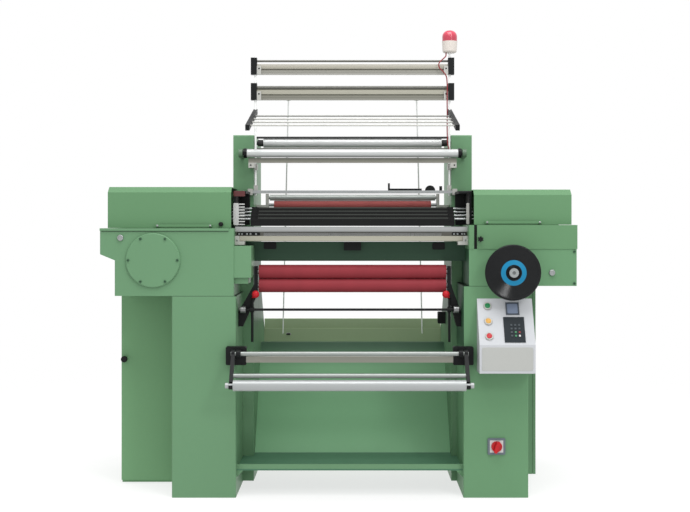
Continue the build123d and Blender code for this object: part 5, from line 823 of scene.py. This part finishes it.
@dataclass
class Cabinetry:
    """The painted columns, frames, cabinets, boxes, covers and the fabric tray."""

    painted: Names = ("right_cabinet", "gear_box_cover", "take_down_gear_case")
    side_frames: Names = ("left_side_frame", "right_side_frame")
    frame_gap_half: float = 0.4125
    # Painted shade on the side frames' inner faces behind the take-down.
    frame_shade: Zone = Span(Z, 0.64, 1.02, 0.08)
    left_seam: Zone = Span(Z, 0.787 - 0.0016, 1.0)
    right_seam: Zone = Span(Z, 0.826 - 0.0016, 1.0)
    # Painted shade on the inner faces of the right column and the right head box.
    column_shade: Zone = Within(Span(X, 0.48, 0.4885), Span(Z, 0.56, 1.0, 0.06))
    head_shade: Zone = Within(Span(X, 0.5, 0.5085), Span(Y, -0.374, 1.0))
    # The rear tie, which gets the pale olive as painted reflected light.
    tie: Zone = Span(Y, 0.46, 1.0)
    tray_lip: Zone = Span(Y, -0.36, -0.341)
    # The tray's floor, which gets painted shade.
    tray_floor: Zone = Span(Z, 0.0985, 0.1065, 0.0008)
    # Painted shade on the chute's top, under the take-down.
    chute_shade: Zone = Within(Span(Z, 0.478, 0.6, 0.055), Span(Y, -1.0, 0.46))
    lip_line: Pair = (1.0386, 1.0411)
    latch_place: Pair = (-0.462, 1.067)
    slot: Pair = (0.5283, 0.5397)
    tie_hole: Triple = (-0.244, 0.4985, 0.556)
    rails: Tuple[Tuple[str, float, float, float], ...] = (
        ("left_cover", -0.717, 0.221, 1.0615), ("right_cover", 0.574, 0.22, 1.0745))
    rail_face: float = -0.3625
    rail_inset: float = 0.007

    def dress(self) -> None:
        """Paint every sheet and casting, pick out knobs and seams, paint the slot black as shade, and paint
        light and shade onto deep, set-back and upper parts.
        """
        for node in self.painted:
            paint(node, Paints.green)
        # The right cover gets the darker upper green as painted shade.
        paint("right_cover", Paints.green_upper_painted_shade)
        # The set-back left cabinet gets the lighter green as painted light.
        paint("left_cabinet", Paints.green_set_back_painted_light)
        self.dress_side_frames()
        self.dress_boxes()
        # The chute tray: a lighter green as painted light, its rear tie a pale olive as painted reflected
        # light, its lip the plain green, the chute's top and the tray's floor darker as painted shade.
        paint("chute_tray", Paints.green_inside_painted_light, (self.tie, Paints.olive_painted_light), (self.tray_lip, Paints.green),
              (self.chute_shade, Paints.green_deep_painted_shade), (self.tray_floor, Paints.green_low_painted_shade))
        paint("cover_bolts", Paints.green_dark)
        paint("oil_sights", Paints.bright)
        paint("head_knob", Paints.black_plastic)
        self.build_screws()

    def dress_side_frames(self) -> None:
        """The side frames are painted, with painted shade on their inner faces behind the take-down; the
        inner faces of the right column and head box get painted shade too.
        """
        centre = centre_line()
        inner = about(centre, self.frame_gap_half)
        for node in self.side_frames:
            paint(node, Paints.green, (Within(inner, self.frame_shade), Paints.green_dark))
        # The right column and head box get painted shade on their inner faces.
        paint("right_column", Paints.green_matt, (self.column_shade, Paints.green_deep_painted_shade),
              (self.right_seam, Paints.seam))
        paint("left_column", Paints.green, (self.left_seam, Paints.seam))
        paint("right_head_box", Paints.green_matt, (self.head_shade, Paints.green_deep_painted_shade))

    def dress_boxes(self) -> None:
        """The boxes are painted; the lip's seam, the latch and the door knob are black, and the slot is
        painted black as painted shade.
        """
        seam = Within(Span(Z, *self.lip_line), Span(X, -0.925, -0.43))
        paint("left_gear_box", Paints.green, (seam, Paints.black))
        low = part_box("right_head_band")[0]
        # The head band's slot is painted black: painted shade inside the slot.
        slot = Within(Span(X, *self.slot), Span(Y, low[1] - 0.01, low[1] + 0.011))
        paint("right_head_band", Paints.green_upper_painted_shade, (slot, Paints.black))
        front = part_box("left_cover")[0][1]
        x, z = self.latch_place
        knob = Within(Ring(Y, (x, 0.0, z), -1.0, 0.011), Span(Y, front - 0.01, front + 0.0141))
        # The left cover gets the darker upper green as painted shade.
        paint("left_cover", Paints.green_upper_painted_shade, (knob, Paints.black_plastic))
        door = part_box("cabinet_door")[0]
        knob = Span(Y, door[1] - 0.01, door[1] + 0.0237)
        # The door gets the lighter green as painted light.
        paint("cabinet_door", Paints.green_set_back_painted_light, (knob, Paints.black_plastic))

    def build_screws(self) -> None:
        """Screws on the lifting rails of both covers, and a black plate in the tie's slot that paints shade
        there.
        """
        head = screw(0.0042, 0.0018)
        for body, x, length, z in self.rails:
            ends = [(x + place, self.rail_face, z) for place in (self.rail_inset, length - self.rail_inset)]
            head.on_front(f"{body}_rail_screws", ends, Paints.bright, body)
        # A black plate in the hole through the rear tie: painted shade where the hole would show the bright
        # background.
        plate(0.0215, 0.0096, 0.003, 2.6).on_front("tie_hole_shade_plate", [self.tie_hole], Paints.black_plastic)


class FrontPlate(NamedTuple):
    """A small plate on a front face, with its places across from the machine's middle and up."""

    name: str
    size: Triple
    face: float
    places: Tuple[Pair, ...]
    finish: Finish
    corner: float = 9.0


@dataclass
class KnittingBed:
    """The bed, the needle bar, the weft bars and the frames at their ends."""

    weft_bars: Names = ("weft_bar_1", "weft_bar_2", "weft_bar_3", "weft_bar_4")
    bar_half: float = 0.4081
    bar_top: float = 1.094
    bar_pitch: float = 0.014
    needle_count: int = 176
    needle_pitch: float = 0.004
    needle_place: Pair = (-0.3095, 1.0208)
    guard_face: float = -0.2817
    beam_face: float = -0.2266
    strip_face: float = -0.3066
    strip_z: float = 1.0285
    left_strip: float = -0.412
    right_strip: float = 0.422
    left_steps: Tuple[float, ...] = (-0.038, -0.026, -0.006, 0.008, 0.03)
    right_steps: Tuple[float, ...] = (-0.02, -0.006, 0.012, 0.022)
    guide_screws: Tuple[Triple, ...] = ((-0.4545, -0.3285, 1.003), (0.445, -0.3285, 1.003))
    comb: Tuple[Pair, ...] = tuple((-0.4415, 1.066 + step * 0.0115) for step in range(8))
    plates: Tuple[FrontPlate, ...] = (
        FrontPlate("left_guide_plate", (0.022, 0.088, 0.003), guard_face, ((-0.464, 1.107),),
                   Paints.white_plate),
        FrontPlate("right_guide_plate", (0.012, 0.084, 0.003), guard_face, ((0.459, 1.109),),
                   Paints.alloy_block),
        FrontPlate("left_window", (0.046, 0.022, 0.003), guard_face, ((-0.451, 1.1885),), Paints.window_red),
        FrontPlate("left_guide_comb", (0.025, 0.0048, 0.0022), guard_face, comb, Paints.white_plate, 5.0),
        # Black plates on the beam's front near both ends, under the needle bar.
        FrontPlate("beam_end_black_plates", (0.05, 0.028, 0.004), beam_face, ((-0.332, 0.981), (0.347, 0.979)),
                   Paints.black),
        FrontPlate("left_bed_strip", (0.092, 0.0125, 0.002), strip_face, ((left_strip, strip_z),),
                   Paints.black),
        FrontPlate("right_bed_strip", (0.058, 0.0125, 0.002), strip_face, ((right_strip, strip_z),),
                   Paints.black))

    def dress(self) -> None:
        """Black bars with bright rods and painted highlights on their top edges, a bright bed with bands of
        painted highlight, a beige needle bar, a beam in painted shade and black end frames.
        """
        centre = centre_line()
        bar = about(centre, self.bar_half)
        for index, node in enumerate(self.weft_bars):
            top = self.bar_top + index * self.bar_pitch
            inner = Span(X, centre - self.bar_half + 0.03, centre + self.bar_half - 0.025)
            # A painted highlight along each bar's top edge.
            edge = Within(Within(bar, inner), Span(Z, top - 0.0045, top + 0.001, 0.0012))
            paint(node, Paints.bar_black, (Outside(bar), Paints.bright), (edge, Paints.bar_edge_painted_highlight))
        low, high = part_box("bed_front_plate")
        # The bed's bands paint its light: brighter above as a painted highlight, greyer below, with a dark
        # line at the gap.
        bed = PaintedSheenBands(tint(180, 183, 183), Z, float(low[2]), float(high[2]), (
            (0.0, 110, 110, 102), (0.36, 140, 139, 130), (0.43, 96, 98, 93),
            (0.5, 176, 179, 178), (0.75, 196, 198, 197), (1.0, 186, 189, 189)), 0.34, 0.35)
        paint("bed_front_plate", bed)
        paint("needle_bar", Paints.beige)
        # The beam under the bed is painted dark green as painted shade.
        paint("bed_beam", Paints.green_beam_painted_shade)
        paint("stop_motion_parts", Paints.black)
        paint("bar_end_frames", Paints.black)
        self.build_needles(centre)
        self.build_end_plates(centre)

    def build_needles(self, centre: float) -> None:
        """A row of needles stands on the needle bar, each a thin pin with a rounded tip."""
        pin = turned_shape([(0.0, 0.0), (0.0011, 0.0), (0.0011, 0.010), (0.0008, 0.0125), (0.0, 0.0131)], 8)
        steps = (np.arange(self.needle_count) - (self.needle_count - 1) / 2) * self.needle_pitch
        y, z = self.needle_place
        places = np.stack([centre + steps, np.full_like(steps, y), np.full_like(steps, z)], axis=-1)
        pin.at(places).piece("needle_row", "needle_bar", Paints.bright_upright)

    def build_end_plates(self, centre: float) -> None:
        """The small plates on the end frames, beam and bed, and the screws in them."""
        for name, size, face, places, finish, corner in self.plates:
            spots = [(centre + x, face, z) for x, z in places]
            plate(*size, corner).on_front(name, spots, finish)
        strips = ((self.left_strip, self.left_steps), (self.right_strip, self.right_steps))
        spots = [(centre + x + step, self.strip_face - 0.002, self.strip_z)
                 for x, steps in strips for step in steps]
        screw(0.0042, 0.002).on_front("bed_strip_screws", spots, Paints.bright)
        spots = [(centre + x, y, z) for x, y, z in self.guide_screws]
        screw(0.0036, 0.0016).on_front("needle_guide_screws", spots, Paints.steel)


@dataclass
class TakeDown:
    """The red take-down rollers with their brackets and pressure levers."""

    rollers: Names = ("upper_take_down_roller", "lower_take_down_roller")
    sleeve_half: float = 0.3731
    sleeve_radius: float = 0.02747
    lug_radius: float = 0.0145
    lug_line: Triple = (0.0, -0.2965, 0.728)
    bore: float = 0.0102
    edge: float = 0.0014

    def dress(self) -> None:
        """Rubber sleeves on bright journals, black brackets with bright lugs, and red lever balls."""
        centre = centre_line()
        sleeve = about(centre, self.sleeve_half)
        for node in self.rollers:
            paint(node, Paints.red_rubber, (Outside(sleeve), Paints.steel))
        lugs = Within(Ring(X, self.lug_line, -1.0, self.lug_radius),
                      Outside(Span(X, centre - 0.41, centre + 0.395)))
        paint("take_down_brackets", Paints.black, (lugs, Paints.steel))
        low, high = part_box("pressure_levers")
        balls = Within(Span(Z, high[2] - 0.0305, high[2] + 0.01),
                       Span(Y, low[1] - 0.01, low[1] + 0.0305))
        paint("pressure_levers", Paints.black, (balls, Paints.red_plastic))
        self.build_sleeves(centre)

    def build_sleeves(self, centre: float) -> None:
        """A rubber sleeve with rounded edges round each roller, so that the two just meet."""
        half, radius, edge = self.sleeve_half + 0.0002, self.sleeve_radius, self.edge
        profile = [(self.bore, -half), (radius - edge, -half), (radius, edge - half), (radius, half - edge),
                   (radius - edge, half), (self.bore, half), (self.bore, -half)]
        sleeve = turned_shape(profile, 96)
        for node in self.rollers:
            _, y, z = middle(node)
            sleeve.at([(centre, y, z)], ALONG_X).piece(f"{node}_sleeve", node, Paints.red_rubber)


@dataclass
class YarnSupply:
    """The feed and let-off rollers, the yarn bars and the masts that carry them."""

    pull_half: float = 0.3361
    let_off_half: float = 0.4321
    rear_half: float = 0.3751
    under_roller_rod: Pair = (-0.0325, 1.3835)
    stripper: Triple = (0.0, -0.0195, 1.4315)
    upper_bar: Pair = (1.690, 1.734)
    lower_bar: Pair = (1.584, 1.628)
    rail: Pair = (1.3185, 1.3385)

    def dress(self) -> None:
        """Bright and red feed rollers, pale let-off rollers with black ends, let-off arms in a darker green
        as painted shade, and bars of drawn alloy with painted highlight bands.
        """
        centre = centre_line()
        sleeve = about(centre, self.pull_half)
        paint("feed_roller", Paints.tube)
        paint("pull_roller", Paints.pull_rubber, (Outside(sleeve), Paints.steel))
        body = about(centre, self.let_off_half)
        paint("front_let_off_roller", Paints.black_plastic, (body, Paints.roller))
        rear = about(centre, self.rear_half)
        paint("rear_let_off_roller", Paints.roller, (Outside(rear), Paints.black))
        # The let-off arms beside the clamp blocks get the darker green as painted shade.
        arms = Within(Outside(about(centre, 0.448)), Span(Z, 1.33, 1.386))
        paint("clamp_blocks", Paints.alloy_block, (arms, Paints.green_arm_painted_shade))
        paint("mast_poles", Paints.pale_pole)
        paint("mast_brackets", Paints.black)
        paint("yarn_guide_bars", self.bar_finish())
        self.build_clamp_screws(centre)
        self.build_thread_rod(centre)

    def bar_finish(self) -> Finish:
        """Each bar by its height: mast bars and the rail with bands of painted highlight and reflection,
        dark and grey rods, and the black stripper.
        """
        # The bands on the mast bars and the rail paint their highlights and dark reflections; the mast bars'
        # dark middle line is their groove.
        upper = PaintedSheenBands(tint(186, 182, 168), Z, *self.upper_bar, (
            (0.0, 196, 195, 188), (0.22, 162, 161, 152), (0.38, 178, 177, 166),
            (0.45, 96, 95, 84), (0.49, 96, 95, 84), (0.55, 180, 177, 163),
            (0.78, 204, 200, 185), (1.0, 222, 219, 208)))
        lower = PaintedSheenBands(tint(170, 168, 154), Z, *self.lower_bar, (
            (0.0, 172, 172, 162), (0.25, 140, 139, 128), (0.42, 156, 155, 142),
            (0.47, 104, 103, 91), (0.51, 104, 103, 91), (0.57, 192, 190, 174),
            (0.9, 200, 198, 182), (1.0, 150, 148, 131)))
        rail = PaintedSheenBands(tint(136, 137, 125), Z, *self.rail, (
            (0.0, 166, 164, 154), (0.4, 142, 142, 130), (0.75, 120, 121, 110),
            (1.0, 92, 94, 87)))
        return zoned(
            Paints.grey_rod, (Span(Z, 1.43, 1.5), Paints.pale_rod),
            (Span(Z, 1.6885, 1.7345), upper), (Span(Z, 1.5825, 1.6283), lower),
            (Span(Z, 1.6287, 1.65), Paints.dark_rod), (Span(Z, 1.74, 1.76), Paints.dark_rod),
            (Span(Z, 1.317, 1.34), rail), (Span(Z, 1.19, 1.21), Paints.bright),
            (Ring(X, self.stripper, -1.0, 0.0065), Paints.black))

    def build_thread_rod(self, centre: float) -> None:
        """A thin dark rod between the side frames, behind the front let-off roller."""
        half = 0.4112
        # A thin dark rod just under the rear let-off roller.
        rod = turned_shape([(0.0, -half), (0.0038, -half), (0.0038, half), (0.0, half)], 20)
        rod.at([(centre, *self.under_roller_rod)], ALONG_X).piece("under_roller_rod", "frame", Paints.dark_rod)

    @staticmethod
    def build_clamp_screws(centre: float) -> None:
        """A dark screw in each clamp of the mast bars and of the let-off rail."""
        places = [(centre + side * 0.389, -0.0785, z) for side in (-1, 1) for z in (1.715, 1.609)]
        places += [(centre + side * 0.417, -0.1545, 1.309) for side in (-1, 1)]
        profile = [(0.0, 0.0), (0.0034, 0.0), (0.0034, 0.0008), (0.0026, 0.0012), (0.0, 0.0012)]
        turned_shape(profile, 20).on_front("clamp_screws", places, Paints.black_plastic)


@dataclass
class WindingUnit:
    """The brackets, bars, arms and roller that wind the fabric."""

    arm_width: float = 0.0142

    def dress(self) -> None:
        """Black brackets and arms, bright bars and a pale roller."""
        paint("winding_brackets", Paints.black)
        low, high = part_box("winding_arms")
        between = Span(X, low[0] + self.arm_width, high[0] - self.arm_width)
        paint("winding_arms", Paints.black, (between, Paints.tube))
        rail = Span(Z, 0.53, 0.5548)
        paint("winding_bars", Paints.tube, (Within(rail, Span(Y, -0.409, 0.0)), Paints.alloy_bar))
        paint("winding_roller", Paints.winding)


@dataclass
class ControlConsole:
    """The console with its push buttons and keypad, and the main switch."""

    top: Pair = (-0.3765, 0.777)
    reach: float = 0.097
    fall: float = 0.171
    button_x: float = 0.5777
    button_shares: Tuple[float, ...] = (0.17, 0.5, 0.82)
    keypad_place: Pair = (0.676, 0.68)
    display_place: Pair = (0.674, 0.225)
    keypad_top_share: float = 0.385
    key_pitch: float = 0.015
    key_offset: float = 0.004
    bezel: Tuple[Pair, ...] = (
        (0.0109, 0.0), (0.0109, 0.0054), (0.0118, 0.0062), (0.0142, 0.0062), (0.0158, 0.0046), (0.0163, 0.0),
        (0.0109, 0.0))
    front_plate: Triple = (0.646, -0.4737, 0.5515)
    coloured_keys: Tuple[Tuple[str, Tuple[int, int]], ...] = (
        ("green", (1, 2)), ("green", (1, 3)), ("red", (2, 2)), ("white", (2, 3)))

    def dress(self) -> None:
        """A pale housing, coloured buttons, a dark keypad under a grey display, and a red switch."""
        paint("console", Paints.console)
        paint("start_button", Paints.green_plastic)
        paint("inch_button", Paints.yellow_plastic)
        paint("stop_button", Paints.red_plastic)
        paint("switch_handle", Paints.switch_red)
        _, edge = self.on_panel(0.0, self.keypad_top_share)
        paint("console_keypad", Paints.keypad, (Span(Z, edge[2], 1.0), Paints.screen_frame))
        x, _, z = middle("switch_plate")
        face = Within(about(x, 0.026), Span(Z, z - 0.0235, z + 0.0235))
        paint("switch_plate", Paints.switch_grey, (face, Paints.white_plastic))
        self.build_panel()

    def on_panel(self, x: float, share: float, lift: float = 0.0) -> Tuple[np.ndarray, np.ndarray]:
        """Find a place on the sloping panel.

        Args:
            x: the place across.
            share: the share of the way down the slope.
            lift: the height over the panel.

        Returns:
            The panel's directions, across, up the slope and out of it, and the place.
        """
        run = math.hypot(self.reach, self.fall)
        up = np.array([0.0, self.reach, self.fall]) / run
        out = np.array([0.0, -self.fall, self.reach]) / run
        start = np.array([x, self.top[0], self.top[1]])
        return np.array([[1.0, 0.0, 0.0], up, out]), start - share * run * up + lift * out

    def build_panel(self) -> None:
        """Bezel rings, the screen, the key caps and the plate on the console's front."""
        spots = [self.on_panel(self.button_x, share)[1] for share in self.button_shares]
        turn, place = self.on_panel(*self.display_place, 0.0016)
        turned_shape(self.bezel, 48).at(spots, turn).piece("button_bezels", "frame", Paints.alloy_block)
        plate(0.041, 0.0415, 0.0008).at([place], turn).piece("display_screen", "frame", Paints.screen)
        self.build_keys()
        front = plate(0.196, 0.09, 0.0012, 30.0)
        front.on_front("console_front_plate", [self.front_plate], Paints.console_front)

    def build_keys(self) -> None:
        """A thin cap on each key: coloured ones where the photo shows them, the rest dark grey."""
        finishes = {"green": Paints.green_plastic, "red": Paints.dull_red, "white": Paints.white_plastic,
                    "grey": Paints.key}
        colours = {place: name for name, place in self.coloured_keys}
        turn, centre = self.on_panel(*self.keypad_place, 0.0046)
        cap = plate(0.0076, 0.0076, 0.0007, 6.0, 0.0003)
        for name, finish in finishes.items():
            keys = [(column, row) for column in range(3) for row in range(4)
                    if colours.get((column, row), "grey") == name]
            steps = np.array([((column - 1) * self.key_pitch + self.key_offset,
                               (1.5 - row) * self.key_pitch - self.key_offset, 0.0) for column, row in keys])
            cap.at(centre + steps @ turn, turn).piece(f"{name}_keys", "frame", finish)


@dataclass
class Handwheel:
    """The black handwheel with its blue ring and bright boss."""

    ring_inner: float = 0.031
    ring_outer: float = 0.049
    boss_radius: float = 0.0183

    def dress(self) -> None:
        """Turned black plastic with a blue ring on the dish and a bright boss on the hub."""
        centre = tuple(float(part) for part in middle("handwheel"))
        low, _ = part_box("handwheel")
        front = Span(Y, low[1] - 0.01, low[1] + 0.03)
        ring = Within(Ring(Y, centre, self.ring_inner, self.ring_outer), front)
        hub = Span(Y, low[1] - 0.01, low[1] + 0.0071)
        boss = Within(Ring(Y, centre, -1.0, self.boss_radius), hub)
        black = TurnedBlack(tint(24, 26, 28), centre)
        paint("handwheel", black, (ring, Paints.blue_plastic), (boss, Paints.bright))


@dataclass
class DriveTrain:
    """What turns inside the cabinets: the motor, belt, pulleys, shafts and the pattern drum."""

    def dress(self) -> None:
        """Cast grey, bright steel and dark rubber."""
        paint("main_motor", Paints.cast)
        paint("drive_belt", Paints.dark_rubber)
        for node in ("motor_pulley", "main_pulley", "main_shaft", "pattern_drum"):
            paint(node, Paints.steel)


@dataclass
class WarningLamp:
    """The lamp on the right mast with its lead."""

    def dress(self) -> None:
        """A red lens on a cream foot, with a red lead."""
        low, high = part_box("lamp_lens")
        paint("lamp_lens", Lens(tint(206, 60, 84), float(low[2]), float(high[2])))
        paint("lamp_base", Paints.cream)
        paint("lamp_cable", Paints.dull_red)


@dataclass
class Studio:
    """The camera, the soft lights and the pale floor."""

    distance: float = 4.5
    eye_height: float = 1.064
    lens: float = 60.2
    shift: Pair = (-0.0109, -0.045)
    floor_reach: float = 14.0
    sky: float = 1.0
    lights: Tuple[Tuple[str, Triple, float, float], ...] = (
        ("top_light", (0.2, -1.6, 4.6), 3.0, 130.0),
        ("right_light", (2.6, -4.2, 3.4), 0.8, 45.0),
    )

    def build(self) -> None:
        """Set the camera, then the lights, the sky and the floor."""
        centre = centre_line()
        front = float(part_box("left_column")[0][1])
        camera = bpy.data.cameras.new("view")
        camera.lens = self.lens
        camera.shift_x, camera.shift_y = self.shift
        camera.clip_end = 100.0
        eye = bpy.data.objects.new("view", camera)
        eye.location = (centre, front - self.distance, self.eye_height)
        eye.rotation_euler = (math.pi / 2, 0.0, 0.0)
        bpy.context.scene.collection.objects.link(eye)
        bpy.context.scene.camera = eye
        for light in self.lights:
            self.add_light(*light)
        self.add_sky()
        self.add_floor()
        bpy.context.scene.view_settings.view_transform = "Standard"

    @staticmethod
    def add_light(name: str, place: Triple, size: float, power: float) -> None:
        """Add a square soft light that faces the machine's middle.

        Args:
            name: the light's name.
            place: where it hangs.
            size: its side.
            power: its power in watts.
        """
        lamp = bpy.data.lights.new(name, "AREA")
        lamp.size = size
        lamp.energy = power
        item = bpy.data.objects.new(name, lamp)
        item.location = place
        aim = Vector((0.0, 0.0, 0.9)) - item.location
        item.rotation_euler = aim.to_track_quat("-Z", "Y").to_euler()
        bpy.context.scene.collection.objects.link(item)

    def add_sky(self) -> None:
        """Light the scene evenly with a pale sky."""
        world = bpy.data.worlds.new("pale_sky")
        world.use_nodes = True
        sky = world.node_tree.nodes["Background"]
        sky.inputs["Color"].default_value = (1.0, 1.0, 1.0, 1.0)
        sky.inputs["Strength"].default_value = self.sky
        bpy.context.scene.world = world

    def add_floor(self) -> None:
        """Lay a square pale floor under the machine."""
        reach = self.floor_reach
        mesh = bpy.data.meshes.new("floor")
        corners = [(-reach, -reach, 0), (reach, -reach, 0), (reach, reach, 0), (-reach, reach, 0)]
        mesh.from_pydata(corners, [], [(0, 1, 2, 3)])
        floor = bpy.data.objects.new("floor", mesh)
        bpy.context.scene.collection.objects.link(floor)
        mesh.materials.append(Paints.floor.material("floor"))


def main() -> None:
    """Dress the machine piece by piece, then set the studio round it."""
    logging.basicConfig(level=logging.INFO, format="%(message)s")
    for assembly in (Cabinetry(), KnittingBed(), TakeDown(), YarnSupply(), WindingUnit(), ControlConsole(),
                     Handwheel(), DriveTrain(), WarningLamp()):
        assembly.dress()
    Studio().build()


if __name__ == "__main__":
    main()
